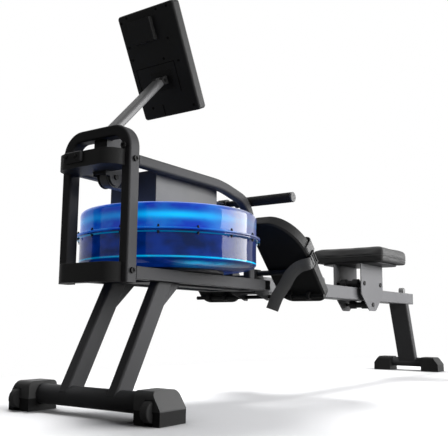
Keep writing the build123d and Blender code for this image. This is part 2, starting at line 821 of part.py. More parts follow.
def monitor_button(x):
    high = button_travel + button_rise
    flat = Pos(x, button_up, monitor_t - button_travel + high / 2)
    return case_plane().location * flat * Cylinder(button_r, high)


# Handle bar with foam grips, end caps and the strap's yoke
def handle_bar():
    return rod_y(handle_x, handle_z, handle_bar_r, -handle_half + end_cap, handle_half - end_cap)


def handle_grip():
    grip = rod_y(handle_x, handle_z, grip_r, -handle_half + end_cap, -grip_inner)
    return grip - rod_y(handle_x, handle_z, handle_bar_r + hole_gap, -handle_half, 0)


def handle_cap():
    cap = rod_y(handle_x, handle_z, grip_r, -handle_half, -handle_half + end_cap)
    return fillet(cap.edges().sort_by(Axis.Y)[0], end_cap / 3)


def handle_yoke():
    shape = rod_y(handle_x, handle_z, grip_r, -yoke_half, yoke_half)
    shape += block(strap_end_x, handle_x, -yoke_half, yoke_half, handle_z - grip_r / 2, handle_z + grip_r / 2)
    return shape - rod_y(handle_x, handle_z, handle_bar_r + hole_gap, -yoke_half - over, yoke_half + over)


# Hook on the inner face of the top tube, open to the rear so that the handle pulls straight out
def handle_hook():
    cup = grip_r + face_gap
    front = handle_x - cup - hook_back
    low = handle_z - cup - hook_lip
    foot = low - hook_foot
    points = ((front, handle_z + cup), (handle_x - cup / 2, handle_z + cup), (handle_x + cup, handle_z),
              (handle_x + cup, low), (handle_x, foot), (front - hook_back, foot), (front - hook_back, low))
    plate = side_plate(points, -tube_inner, -tube_inner + hook_t)
    plate -= rod_y(handle_x, handle_z, cup, -hoop_half, 0)
    return plate - block(handle_x, handle_x + 3 * cup, -hoop_half, 0, handle_z - cup, handle_z + 3 * cup)


# Seat rail
def seat_rail():
    outer = RectangleRounded(rail_w, rail_h, rail_corner)
    start = Plane(origin=(base_rear, 0, rail_z + rail_h / 2), x_dir=(0, 1, 0), z_dir=(1, 0, 0))
    face = outer - RectangleRounded(rail_w - 2 * rail_wall, rail_h - 2 * rail_wall, rail_inner_corner)
    return extrude(start * face, amount=rail_rear - rail_cap - base_rear)


def rail_end_cap():
    shape = block(rail_rear - rail_cap, rail_rear, -rail_w / 2, rail_w / 2, rail_z, rail_top)
    return fillet(shape.faces().sort_by(Axis.X)[-1].edges(), rail_corner)


def seat_stop(x):
    stop = block(x - stop_r, x + stop_r, -stop_half, stop_half, rail_top, rail_top + stop_r)
    return stop + rod_y(x, rail_top + stop_r, stop_r, -stop_half, stop_half)


def roller_places():
    upper_z = rail_top + face_gap + roller_r
    lower_z = rail_z - face_gap - lower_roller_r
    return ((seat_x - roller_pitch / 2, upper_z, roller_r), (seat_x + roller_pitch / 2, upper_z, roller_r),
            (seat_x, lower_z, lower_roller_r))


def seat_roller(x, z, r):
    end = rail_w / 2 - roller_end_in
    shape = rod_y(x, z, roller_waist, -end, end)
    for sign in (-1, 1):
        shape += side(rod_y(x, z, r, -end, -roller_inner), sign)
    return shape - rod_y(x, z, roller_axle_r + run_gap, -rail_w, rail_w)


def carriage_plate():
    half = carriage_len / 2
    foot = plate_foot_len / 2
    points = ((seat_x - half, plate_top), (seat_x + half, plate_top), (seat_x + half, plate_taper_z),
              (seat_x + foot, plate_foot), (seat_x - foot, plate_foot), (seat_x - half, plate_taper_z))
    plate = side_plate(points, -carriage_half, -carriage_half + plate_t)
    plate = fillet(plate.edges().filter_by(Axis.Y).group_by(Axis.Z)[0], plate_round)
    for x, z, r in roller_places():
        plate -= rod_y(x, z, roller_axle_r + hole_gap, -2 * carriage_half, 0)
    return plate


def roller_axle(x, z):
    shape = rod_y(x, z, roller_axle_r, -carriage_half - axle_head, carriage_half + axle_head)
    for sign in (-1, 1):
        shape += side(rod_y(x, z, axle_head_r, -carriage_half - axle_head, -carriage_half), sign)
    return shape


def seat_pan():
    plan = RectangleRounded(pan_len, pan_w, pan_corner)
    return Pos(seat_x + pad_x, 0, plate_top) * extrude(plan, amount=pan_t)


def seat_pad():
    plan = RectangleRounded(pad_len, pad_w, pad_corner)
    pad = Pos(seat_x + pad_x, 0, seat_plane + face_gap) * extrude(plan, amount=pad_t)
    return fillet(pad.faces().sort_by(Axis.Z)[-1].edges(), pad_round)


# Footplate in its own plane: x across, y from heel to toe, z out of the sole
def foot_plane():
    a = radians(foot_slope)
    return Plane(origin=(heel_x, -foot_y, heel_z), x_dir=(0, 1, 0), z_dir=(sin(a), 0, cos(a)))


# Sole's outline, straight on the inner side and curved in at the little toe
def foot_outline(inset):
    left = -foot_w / 2 + inset
    right = foot_w / 2 - inset
    high = foot_len - inset
    heel_out = heel_outer_r - inset
    heel_in = heel_inner_r - inset
    toe_in = toe_inner_r - inset
    toe_x = toe_across - foot_w / 2
    edges = Line((left, heel_outer_r), (left, toe_start))
    edges += EllipticalCenterArc((toe_x, toe_start), toe_across - inset, high - toe_start, 90, arc_size=90)
    edges += Line((toe_x, high), (right - toe_in, high))
    edges += CenterArc((right - toe_in, high - toe_in), toe_in, 0, 90)
    edges += Line((right, high - toe_in), (right, heel_inner_r))
    edges += CenterArc((right - heel_in, heel_inner_r), heel_in, 270, 90)
    edges += Line((right - heel_in, inset), (left + heel_out, inset))
    edges += CenterArc((left + heel_out, heel_outer_r), heel_out, 180, 90)
    return make_face(edges)


def axle_in_foot():
    a = radians(foot_slope)
    dx = pedal_axle_x - heel_x
    dz = pedal_axle_z - heel_z
    return -dx * cos(a) + dz * sin(a), dx * sin(a) + dz * cos(a)


def footplate():
    place = foot_plane().location
    sole = extrude(foot_outline(0), amount=-foot_t)
    sole = chamfer(sole.faces().sort_by(Axis.Z)[0].edges(), foot_edge)
    rim = extrude(foot_outline(0) - foot_outline(rim_wall), amount=rim_wing)
    heights = ((0, 0), (foot_len, 0), (foot_len, rim_toe), (rim_wing_end, rim_wing), (rim_wing_start, rim_wing),
               (rim_heel_len, rim_heel), (0, rim_heel))
    rim = rim & extrude(make_face(Plane.YZ * Polyline(*heights, close=True)), amount=foot_w, both=True)
    plate = sole + rim
    along, below = axle_in_foot()
    for x in (-lug_half, lug_half):
        plate += Pos(x, along, (below - foot_t) / 2) * Box(lug_t, 2 * lug_r, -below - foot_t)
        plate += Pos(x, along, below) * Rot(0, 90, 0) * Cylinder(lug_r, lug_t)
    plate -= Pos(0, along, below) * Rot(0, 90, 0) * Cylinder(pedal_axle_r + run_gap, 2 * foot_w)
    return place * plate


# Webbing loop round the footplate, its buckle on the outer side and the tail that hangs from it
def foot_strap(route):
    place = foot_plane().location
    reach = foot_w / 2 + face_gap
    low = -foot_t - face_gap
    ring = arch_face(reach, low, webbing_arch, webbing_t) - arch_face(reach, low, webbing_arch, 0)
    loop = place * Pos(0, webbing_along, 0) * extrude(ring, amount=webbing_w / 2, both=True)
    buckle_x = -reach - webbing_t - buckle_t / 2
    buckle = Pos(buckle_x, buckle_along, buckle_mid) * Box(buckle_t, buckle_len, buckle_h)
    buckle = place * fillet(buckle.edges().filter_by(Axis.X), buckle_round)
    start = (place * Pos(buckle_x, buckle_along, buckle_mid - buckle_h / 2)).position
    return [loop, buckle, strap_tail(start, route)]


def strap_tail(start, steps):
    normal = foot_plane().z_dir
    route = [start] + [start + Vector(*step) for step in steps]
    band = Rectangle(tail_w, webbing_t)
    sections = [Plane(origin=start, x_dir=Vector(0, 1, 0).cross(normal), z_dir=-normal) * band]
    for before, point, after in zip(route, route[1:], route[2:] + route[-1:]):
        ahead = (after - before).normalized()
        across = ahead.cross(Vector(*tail_facing))
        sections.append(Plane(origin=point, x_dir=across, z_dir=ahead) * band)
    return loft(sections, ruled=True)


def arch_face(reach, low, high, grow):
    corner = webbing_round + grow
    w = 2 * (reach + grow)
    h = high - low + 2 * grow
    flat = Pos(0, (low + high) / 2) * Rectangle(w, h)
    rounded = fillet(flat.vertices().group_by(Axis.Y)[-1], corner)
    return Plane.XZ * rounded


def pedal_axle():
    return rod_y(pedal_axle_x, pedal_axle_z, pedal_axle_r, -pedal_axle_half, pedal_axle_half)


def stub_place():
    a = radians(foot_slope)
    below = foot_t + stub_r + face_gap
    x = heel_x - stop_along * cos(a) - below * sin(a)
    return x, heel_z + stop_along * sin(a) - below * cos(a)


# Bracket: two cheeks on the rail, a saddle under it and stubs that the footplates lean on
def pedal_bracket():
    x, z = stub_place()
    inner = rail_w / 2
    outer = inner + bracket_t
    edge = lug_r
    points = ((x - 2 * stub_r, z + 1.5 * stub_r), (x + 2 * stub_r, z + 1.5 * stub_r),
              (pedal_axle_x + edge, pedal_axle_z), (pedal_axle_x + edge / 2, pedal_axle_z - edge),
              (pedal_axle_x - edge / 2, pedal_axle_z - edge), (x - 2 * stub_r, rail_z - bracket_t))
    shape = block(x - 2 * stub_r, pedal_axle_x, -outer, outer, rail_z - bracket_t, rail_z)
    for sign in (-1, 1):
        cheek = side_plate(points, -outer, -inner) + rod_y(x, z, stub_r, -stub_half, -outer)
        shape += side(cheek, sign)
    return shape - rod_y(pedal_axle_x, pedal_axle_z, pedal_axle_r + hole_gap, -outer - over, outer + over)


def frame_bolts():
    post_face = hoop_half + hoop_w / 2
    bolts = []
    for sign in (-1, 1):
        bolts.append(bolt_y(hoop_x, top_tube_z, post_face, sign))
        bolts.append(bolt_y(hoop_x, hoop_bolt_z, post_face, sign))
        bolts.append(bolt_x(sign * guard_bolt_y, guard_bolt_z, hoop_front - guard_wall))
    return bolts


def both(shape):
    return [shape, mirror_y(shape)]


front_tube_half = foot_inner + socket_depth
rear_tube_half = rear_inner + socket_depth
rollers = roller_places()
nodes = {
    "front_stabilizer_tube": [stabilizer(front_tube_x, front_tube_z, front_tube_r, front_tube_half)],
    "front_foot_right": [front_foot(), wheel_rod(wheel_axle_r)],
    "front_foot_left": [mirror_y(front_foot()), mirror_y(wheel_rod(wheel_axle_r))],
    "transport_wheel_right": [transport_wheel()],
    "transport_wheel_left": [mirror_y(transport_wheel())],
    "front_leg_right": [front_leg(), leg_gusset()],
    "front_leg_left": [mirror_y(front_leg()), mirror_y(leg_gusset())],
    "base_frame": [base_frame()],
    "base_front_bar": [base_front_bar()],
    "front_hoop": [front_hoop()],
    "top_tube_right": [top_tube()],
    "top_tube_left": [mirror_y(top_tube())],
    "pulley_guard": [pulley_guard()],
    "pulley_mast": [pulley_mast()],
    "pulley_axle": [pulley_axle()],
    "front_pulley": [front_pulley()],
    "frame_bolts": frame_bolts(),
    "drive_housing": [drive_housing()],
    "strap_drum": [strap_drum()],
    "drive_strap": [drive_strap()],
    "tank_cradle": [tank_cradle()],
    "tank_lower_shell": [tank_lower_shell()],
    "tank_upper_shell": [tank_upper_shell()],
    "tank_seal": [tank_seal()],
    "tank_screws": tank_screws(),
    "tank_water": [tank_water()],
    "fill_plug": [fill_plug()],
    "impeller": [impeller()],
    "shaft_bearings": [lower_bearing(), upper_bearing()],
    "monitor_arm": [monitor_arm()],
    "monitor_hinge_pin": [hinge_pin()],
    "monitor_case": [monitor_case()],
    "monitor_screen": [monitor_screen()],
    "monitor_button_right": [monitor_button(button_places()[0])],
    "monitor_button_middle": [monitor_button(button_places()[1])],
    "monitor_button_left": [monitor_button(button_places()[2])],
    "handle_bar": [handle_bar()],
    "handle_grips": both(handle_grip()),
    "handle_end_caps": both(handle_cap()),
    "handle_yoke": [handle_yoke()],
    "handle_hooks": both(handle_hook()),
    "seat_rail": [seat_rail()],
    "rail_end_cap": [rail_end_cap()],
    "seat_stops": [seat_stop(front_stop_x), seat_stop(rear_stop_x)],
    "seat_pad": [seat_pad()],
    "seat_pan": [seat_pan()],
    "carriage_plates": both(carriage_plate()),
    "roller_axles": [roller_axle(x, z) for x, z, r in rollers],
    "front_roller": [seat_roller(*rollers[0])],
    "rear_roller": [seat_roller(*rollers[1])],
    "lower_roller": [seat_roller(*rollers[2])],
    "pedal_bracket": [pedal_bracket()],
    "pedal_axle": [pedal_axle()],
    "footplate_right": [footplate()],
    "footplate_left": [mirror_y(footplate())],
    "foot_strap_right": foot_strap(tail_route),
    "foot_strap_left": [mirror_y(piece) for piece in foot_strap(tail_route[:left_tail_steps])],
    "rear_leg": [rear_leg()],
    "rear_stabilizer_tube": [stabilizer(rear_tube_x, rear_tube_z, rear_tube_r, rear_tube_half)],
    "rear_feet": both(rear_foot()),
}

os.makedirs("parts", exist_ok=True)
for name, pieces in nodes.items():
    solids = [solid for piece in pieces for solid in piece.solids()]
    placed = [Pos(shift_x, 0, 0) * solid for solid in solids]
    export_step(Compound(placed) if len(placed) > 1 else placed[0], f"parts/{name}.step")
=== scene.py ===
import json
import math

import bmesh
import bpy
import numpy as np
from mathutils import Matrix, Vector
from mathutils.bvhtree import BVHTree


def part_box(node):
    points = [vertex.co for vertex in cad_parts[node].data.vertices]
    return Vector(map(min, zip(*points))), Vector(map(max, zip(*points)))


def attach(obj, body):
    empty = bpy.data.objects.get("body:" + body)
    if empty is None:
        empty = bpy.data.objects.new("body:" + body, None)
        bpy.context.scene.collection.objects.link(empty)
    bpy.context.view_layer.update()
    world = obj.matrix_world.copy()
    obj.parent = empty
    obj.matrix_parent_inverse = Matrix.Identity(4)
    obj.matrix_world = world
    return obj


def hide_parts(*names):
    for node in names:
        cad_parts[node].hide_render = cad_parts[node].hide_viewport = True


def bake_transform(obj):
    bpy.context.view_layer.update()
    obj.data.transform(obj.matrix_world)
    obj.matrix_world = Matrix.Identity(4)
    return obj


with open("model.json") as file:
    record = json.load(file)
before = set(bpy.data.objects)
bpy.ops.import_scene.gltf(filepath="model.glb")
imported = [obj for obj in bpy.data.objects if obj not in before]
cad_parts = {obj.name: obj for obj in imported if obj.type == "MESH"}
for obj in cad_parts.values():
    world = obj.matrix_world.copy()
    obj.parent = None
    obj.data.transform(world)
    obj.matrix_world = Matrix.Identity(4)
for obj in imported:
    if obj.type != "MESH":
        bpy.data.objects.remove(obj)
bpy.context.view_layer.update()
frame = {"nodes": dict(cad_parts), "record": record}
nodes = frame["nodes"]
tankX = sum(corner.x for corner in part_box("tank_lower_shell")) / 2  # tank axis, the rest is placed from it
bodyOf = {member: body for body, members in frame["record"]["behaviour"]["bodies"].items() for member in members}
print("frame loaded", len(nodes), "nodes")


def at(x, y, z):
    # millimetres from the tank's axis, floor and middle plane
    return Vector((tankX + x / 1000, y / 1000, z / 1000))


# one socket, so that shader maths reads as sums
class Sock:
    def __init__(self, kit, socket):
        self.kit = kit
        self.socket = socket

    def calc(self, operation, *others):
        return self.kit.made("ShaderNodeMath", 0, {"operation": operation}, dict(enumerate((self,) + others)))

    def __rsub__(self, other):
        return (self * -1) + other

    def clamped(self):
        return self.calc("MAXIMUM", 0.0).calc("MINIMUM", 1.0)


sums = {"add": "ADD", "radd": "ADD", "sub": "SUBTRACT", "mul": "MULTIPLY", "rmul": "MULTIPLY", "truediv": "DIVIDE"}
for method, operation in sums.items():
    setattr(Sock, "__" + method + "__", lambda self, other, operation=operation: self.calc(operation, other))


# a node tree with one way to add any node
class Kit:
    def __init__(self, tree):
        self.tree = tree

    def node(self, kind, settings=None, inputs=None):
        made = self.tree.nodes.new(kind)
        for key, value in (settings or {}).items():
            setattr(made, key, value)
        for key, value in (inputs or {}).items():
            if isinstance(value, Sock):
                self.tree.links.new(value.socket, made.inputs[key])
            else:
                made.inputs[key].default_value = value
        return made

    def out(self, made, name=0):
        return Sock(self, made.outputs[name])

    def made(self, kind, output, settings=None, inputs=None):
        return self.out(self.node(kind, settings, inputs), output)

    def ramp(self, value, stops):
        made = self.node("ShaderNodeValToRGB", None, {"Fac": value})
        marks = made.color_ramp.elements
        while len(marks) < len(stops):
            marks.new(0.5)
        for mark, (place, colour) in zip(marks, stops):
            mark.position = place
            mark.color = colour
        return self.out(made, "Color")

    def noise(self, where, scale, detail=3.0, roughness=0.55):
        return self.made("ShaderNodeTexNoise", "Fac", None,
                         {"Vector": where, "Scale": scale, "Detail": detail, "Roughness": roughness})

    def cells(self, where, scale, feature="F1"):
        return self.made("ShaderNodeTexVoronoi", "Distance", {"feature": feature}, {"Vector": where, "Scale": scale})

    def stretch(self, where, scale):
        return self.made("ShaderNodeMapping", 0, None, {"Vector": where, "Scale": scale})

    def lines(self, where, scale, shape, detail):
        return self.noise(self.stretch(where, [scale * share for share in shape]), 1.0, detail)

    def mixColour(self, factor, first, second):
        return self.made("ShaderNodeMix", 2, {"data_type": "RGBA"}, {0: factor, 6: first, 7: second})

    def shades(self, factor, level, ends, tint=0.0):
        return self.mixColour(factor, grey(level * ends[0], tint), grey(level * ends[1], tint))

    def coords(self, name):
        return self.made("ShaderNodeTexCoord", name)

    def axis(self, where, name):
        return self.made("ShaderNodeSeparateXYZ", name, None, {"Vector": where})

    def step(self, value, middle, half):
        return self.made("ShaderNodeMapRange", 0, None,
                         {"Value": value, "From Min": middle - half, "From Max": middle + half})

    def bump(self, height, strength, distance):
        return self.made("ShaderNodeBump", 0, None, {"Height": height, "Strength": strength, "Distance": distance})


def grey(level, tint=0.0):
    return (level, level, level * (1 + tint), 1.0)


def about(level, wave, spread):
    # a wave of 0 to 1, centred on a level
    return level + (wave - 0.5) * spread


def startMaterial(name):
    material = bpy.data.materials.new(name)
    material.use_nodes = True
    kit = Kit(material.node_tree)
    shader = material.node_tree.nodes["Principled BSDF"]
    return material, kit, shader, kit.coords("Object")


socketOf = {"colour": "Base Color", "rough": "Roughness", "metal": "Metallic", "normal": "Normal", "alpha": "Alpha",
            "coat": "Coat Weight", "coatRough": "Coat Roughness", "glow": "Emission Color", "sheen": "Sheen Weight",
            "glowStrength": "Emission Strength", "specular": "Specular IOR Level"}


def feed(kit, shader, **values):
    for key, value in values.items():
        socket = shader.inputs[socketOf[key]]
        if isinstance(value, Sock):
            kit.tree.links.new(value.socket, socket)
        else:
            socket.default_value = value


# skins: layers of noise, cells or brushed lines, for the colour's shade, the roughness and the relief
skinLooks = {
    "coat": {"layers": {"cloud": ("noise", 9.0), "peel": ("noise", 1100.0, 2.0), "speck": ("cells", 1900.0)},
             "shade": "cloud", "ends": (0.036, 0.050), "tint": 0.04, "rough": 0.42,
             "spread": {"cloud": 0.10, "peel": 0.12}, "relief": {"peel": 1.0, "speck": 0.4},
             "bump": (0.28, 0.00012), "specular": 0.03},
    "plastic": {"layers": {"cloud": ("noise", 14.0), "pits": ("cells", 1500.0), "fine": ("noise", 900.0, 2.0)},
                "shade": "cloud", "ends": (0.86, 1.14), "spread": {"fine": 0.16},
                "relief": {"pits": 1.0, "fine": 0.7}, "bump": (0.35, 0.00012), "specular": 0.05},
    "satin": {"layers": {"lines": ("lines", 60.0, (1, 15, 1), 4.0), "cloud": ("noise", 6.0)}, "shade": "lines",
              "ends": (0.82, 1.12), "tint": 0.02, "metal": 0.15, "spread": {"lines": 0.2, "cloud": 0.08},
              "relief": {"lines": 1.0}, "bump": (0.12, 0.0001), "specular": 0.2},
    "steel": {"layers": {"cloud": ("noise", 260.0, 4.0)}, "shade": "cloud", "ends": (0.75, 1.2), "metal": 0.1,
              "rough": 0.50, "spread": {"cloud": 0.25}, "relief": {"cloud": 1.0}, "bump": (0.08, 0.0001),
              "specular": 0.04},
    "rubber": {"layers": {"cloud": ("noise", 22.0), "fine": ("noise", 900.0)}, "shade": "cloud", "ends": (0.8, 1.25),
               "rough": 0.72, "spread": {"fine": 0.2}, "relief": {"fine": 1.0}, "bump": (0.3, 0.00015),
               "specular": 0.15},
    "foam": {"layers": {"pores": ("cells", 950.0), "small": ("cells", 2300.0), "cloud": ("noise", 30.0)},
             "shade": "pores", "ends": (0.6, 1.3), "rough": 0.82, "spread": {"cloud": 0.12},
             "relief": {"pores": 1.0, "small": 0.5}, "bump": (0.55, 0.0003), "specular": 0.15},
    "vinyl": {"layers": {"warp": ("noise", 60.0, 2.0), "creases": ("cells", 420.0, "DISTANCE_TO_EDGE"),
                         "pebble": ("cells", 900.0), "cloud": ("noise", 7.0)},
              "shade": "cloud", "ends": (0.82, 1.18), "rough": 0.58, "spread": {"warp": 0.06, "pebble": 0.06},
              "relief": {"creases": 3.0, "pebble": 0.6}, "bump": (0.42, 0.0003), "specular": 0.10},
}


def skin(name, kind, level=1.0, grain=1.0, **own):
    look = {"tint": 0.0, "metal": 0.0, **skinLooks[kind], **own}
    material, kit, shader, place = startMaterial(name)
    layers = {}
    for key, (texture, scale, *more) in look["layers"].items():
        finer = 1.0 if key == look["shade"] else grain
        layers[key] = getattr(kit, texture)(place, scale * finer, *more)
    rough = look["rough"]
    for key, spread in look["spread"].items():
        rough = about(rough, layers[key], spread)
    relief = sum(layers[key] * rise for key, rise in look["relief"].items())
    feed(kit, shader, colour=kit.shades(layers[look["shade"]], level, look["ends"], look["tint"]), rough=rough,
         metal=look["metal"], normal=kit.bump(relief, *look["bump"]), specular=look["specular"])
    return material


# moulded cap plastic, darker and rougher below a set height
lowBandLook = {"top": 0.030, "edge": 0.0008, "level": 0.014, "rougher": 0.3, "cloud": 14.0, "ends": (0.86, 1.14),
            "grain": 900.0, "roughSpread": 0.16, "edgeRise": 0.5, "bump": 0.35, "depth": 0.00015, "specular": 0.05}


def lowBandPlastic(name, level, rough):
    material, kit, shader, place = startMaterial(name)
    look = lowBandLook
    above = kit.step(kit.axis(place, "Z"), look["top"], look["edge"])
    cap = kit.shades(kit.noise(place, look["cloud"]), level, look["ends"])
    fine = kit.noise(place, look["grain"], detail=2.0)
    feed(kit, shader, colour=kit.mixColour(above, grey(look["level"]), cap), specular=look["specular"],
         rough=about(rough + (1.0 - above) * look["rougher"], fine, look["roughSpread"]),
         normal=kit.bump(fine + above * look["edgeRise"], look["bump"], look["depth"]))
    return material


# webbing: threads across and along the band, by its own coordinates
webLook = {"warpCount": 11.0, "weftPerMetre": 420.0, "warp": 0.5, "weft": 0.35, "twill": 0.6, "threadGain": 0.35,
           "fuzz": 1400.0, "fuzzShare": 0.2, "edgePower": 14.0, "edgeRise": 0.6, "shades": (0.45, 1.5), "rough": 0.78,
           "roughSpread": 0.2, "edgeRough": 0.08, "bump": 0.7, "depth": 0.0005, "sheen": 0.12}


def wovenWebbing(name, level):
    material, kit, shader, place = startMaterial(name)
    look = webLook
    uv = kit.coords("UV")
    across = kit.axis(uv, "X")
    along = kit.axis(uv, "Y")
    acrossTurn = look["warpCount"] * math.pi
    alongTurn = look["weftPerMetre"] * math.pi
    warp = (across * (2 * acrossTurn)).calc("SINE")
    weft = (along * (2 * alongTurn)).calc("SINE")
    twill = (across * acrossTurn + along * alongTurn).calc("SINE")
    threads = (warp * look["warp"] + weft * look["weft"] + twill * look["twill"]) * look["threadGain"] + 0.5
    edge = ((across - 0.5).calc("ABSOLUTE") * 2.0).calc("POWER", look["edgePower"])
    fuzz = kit.noise(place, look["fuzz"], detail=2.0)
    mixed = threads * (1 - look["fuzzShare"]) + fuzz * look["fuzzShare"]
    feed(kit, shader, colour=kit.shades(mixed, level, look["shades"]),
         rough=about(look["rough"], fuzz, look["roughSpread"]) + edge * look["edgeRough"],
         normal=kit.bump(threads + edge * look["edgeRise"], look["bump"], look["depth"]), sheen=look["sheen"])
    return material


# blue clear plastic with painted light: glowing bands by height, brighter at some turns, and a painted reflection on
# one side
tankLook = {"upper": (0.002, 0.095, 0.370, 1.0), "indigo": (0.001, 0.022, 0.270, 1.0), "parting": 0.4327,
            "lower": (0.000, 0.006, 0.040, 1.0), "royal": (0.000, 0.016, 0.140, 1.0), "partingEdge": 0.002,
            "cyan": (0.000, 0.520, 0.900, 1.0), "pale": (0.300, 0.420, 0.800, 1.0), "lobes": 3.0,
            "beam": 0.4690, "beamHalf": 0.0090, "beamTurn": -2.40, "lobePower": 1.4, "beamLift": 0.10,
            "beamGain": 0.8, "beamRest": 0.26, "rim": 0.3690, "rimHalf": 0.0020, "rimGain": 1.1,
            "topGlint": 0.5000, "topGlintHalf": 0.0014, "topGlintGain": 0.6, "poolTurn": -1.90, "poolFrom": 0.32, "poolGain": 4.0,
            "bowl": 0.3560, "bowlHalf": 0.0042, "lipOff": 0.0052, "lipHalf": 0.0007, "lipGain": 0.3,
            "deepFrom": 0.38, "deepGain": 5.0, "reflectionTurn": -1.40, "reflectionHalf": 0.36, "reflectionGain": 1.6,
            "reflectionShare": 0.95, "reflectionHigh": (0.095, 0.100, 0.135, 1.0), "reflectionLow": (0.014, 0.018, 0.055, 1.0),
            "reflectionAlpha": 0.15,
            "around": (6.5, 6.5, 2.0), "patches": (9.0, 9.0, 16.0), "drops": 230.0, "dropClear": 0.25,
            "dropRise": 0.03, "rough": 0.07, "roughSpread": 0.04, "bump": 0.05, "depth": 0.003, "alpha": 0.80,
            "alphaSpread": 0.15, "glow": 0.9, "coat": 0.25, "coatRough": 0.03, "specular": 0.05}


def bandAt(value, middle, half):
    gap = (value - middle) / half
    return (gap * gap * -1.0).calc("EXPONENT")


def lobesAt(turn, middle, count):
    return ((turn - middle) * count).calc("COSINE").calc("MAXIMUM", 0.0)


def tankShell(name):
    material, kit, shader, place = startMaterial(name)
    look = tankLook
    height = kit.axis(place, "Z")
    turn = kit.axis(place, "Y").calc("ARCTAN2", kit.axis(place, "X") - tankX)
    around = kit.noise(kit.stretch(place, look["around"]), 1.0, detail=2.0)
    patches = kit.noise(kit.stretch(place, look["patches"]), 1.0)
    drops = kit.cells(place, look["drops"])
    above = kit.step(height, look["parting"], look["partingEdge"])

    # painted light: a cyan beam, a glint on the rim, pools of light on the bowl, glints on the lips and on the top
    # edge
    lobes = lobesAt(turn, look["beamTurn"], look["lobes"]).calc("POWER", look["lobePower"])
    beam = bandAt(height, look["beam"], look["beamHalf"])
    beam = beam * (lobes * (around + look["beamLift"]) * look["beamGain"] + look["beamRest"])
    rimBand = bandAt(height, look["rim"], look["rimHalf"])
    lightPools = lobesAt(turn, look["poolTurn"], look["lobes"])
    lightPools = lightPools * ((patches - look["poolFrom"]) * look["poolGain"]).calc("MAXIMUM", 0.0)
    bowl = bandAt(height, look["bowl"], look["bowlHalf"]) * lightPools
    lipGlints = bandAt(height, look["parting"] + look["lipOff"], look["lipHalf"])
    lipGlints = lipGlints + bandAt(height, look["parting"] - look["lipOff"], look["lipHalf"])
    light = (beam + rimBand * (around * look["rimGain"]) + bowl + lipGlints * look["lipGain"]).calc("MINIMUM", 1.0)
    topGlint = (bandAt(height, look["topGlint"], look["topGlintHalf"]) * look["topGlintGain"]).calc("MINIMUM", 1.0)

    deep = ((patches - look["deepFrom"]) * look["deepGain"]).clamped()
    below = kit.mixColour(deep, look["royal"], look["lower"])
    base = kit.mixColour(above, below, kit.mixColour(deep, look["upper"], look["indigo"]))
    base = kit.mixColour(light, base, look["cyan"])
    base = kit.mixColour(topGlint, base, look["pale"])
    # painted reflection of the side lamp: grey on one side, broken by droplets and kept off the rim glint
    sideReflection = (bandAt(turn, look["reflectionTurn"], look["reflectionHalf"]) * look["reflectionGain"]).calc("MINIMUM", 1.0)
    reflectionCover = (1.0 - rimBand.calc("MINIMUM", 1.0)) * (look["reflectionShare"] - drops * look["dropClear"])
    base = kit.mixColour(sideReflection * reflectionCover, base, kit.mixColour(above, look["reflectionLow"], look["reflectionHigh"]))
    # the shell's colour is also its emission, so the painted light glows
    feed(kit, shader, colour=base, rough=about(look["rough"], around, look["roughSpread"]),
         normal=kit.bump(patches + drops * look["dropRise"], look["bump"], look["depth"]),
         alpha=about(look["alpha"], patches, look["alphaSpread"]) + sideReflection * look["reflectionAlpha"], glow=base,
         glowStrength=look["glow"], coat=look["coat"], coatRough=look["coatRough"], specular=look["specular"])
    return material


# water seen through the shell, glowing with a painted swirl of light, and the display's window
waterLook = {"swirl": (4.0, 4.0, 20.0), "swirlScale": 1.4, "patch": 6.5, "swirlGain": 0.8, "patchGain": 0.9,
             "dark": 0.45, "rough": 0.08, "swirlRough": 0.08, "bump": 0.25, "depth": 0.004, "glow": 0.35, "coat": 0.4,
             "coatRough": 0.05, "specular": 0.2,
             "stops": ((0.0, (0.003, 0.014, 0.14, 1.0)), (0.45, (0.006, 0.04, 0.36, 1.0)),
                       (0.8, (0.01, 0.16, 0.70, 1.0)), (1.0, (0.08, 0.50, 0.95, 1.0)))}
windowLook = {"colour": (0.012, 0.016, 0.02, 1.0), "smear": 35.0, "rough": 0.08, "smearRough": 0.08, "coat": 0.8,
              "coatRough": 0.05}


def waterBody(name):
    material, kit, shader, place = startMaterial(name)
    look = waterLook
    swirl = kit.noise(kit.stretch(place, look["swirl"]), look["swirlScale"], detail=5.0)
    patch = kit.noise(place, look["patch"], detail=2.0)
    light = (swirl * look["swirlGain"] + patch * look["patchGain"] - look["dark"]).clamped()
    # painted light: the swirl's colour is also its emission
    body = kit.ramp(light, look["stops"])
    feed(kit, shader, colour=body, rough=look["rough"] + swirl * look["swirlRough"],
         normal=kit.bump(swirl, look["bump"], look["depth"]), glow=body, glowStrength=look["glow"],
         coat=look["coat"], coatRough=look["coatRough"], specular=look["specular"])
    return material


def screenGlass(name):
    material, kit, shader, place = startMaterial(name)
    look = windowLook
    smear = kit.noise(place, look["smear"])
    feed(kit, shader, colour=look["colour"], rough=look["rough"] + smear * look["smearRough"], coat=look["coat"],
         coatRough=look["coatRough"])
    return material


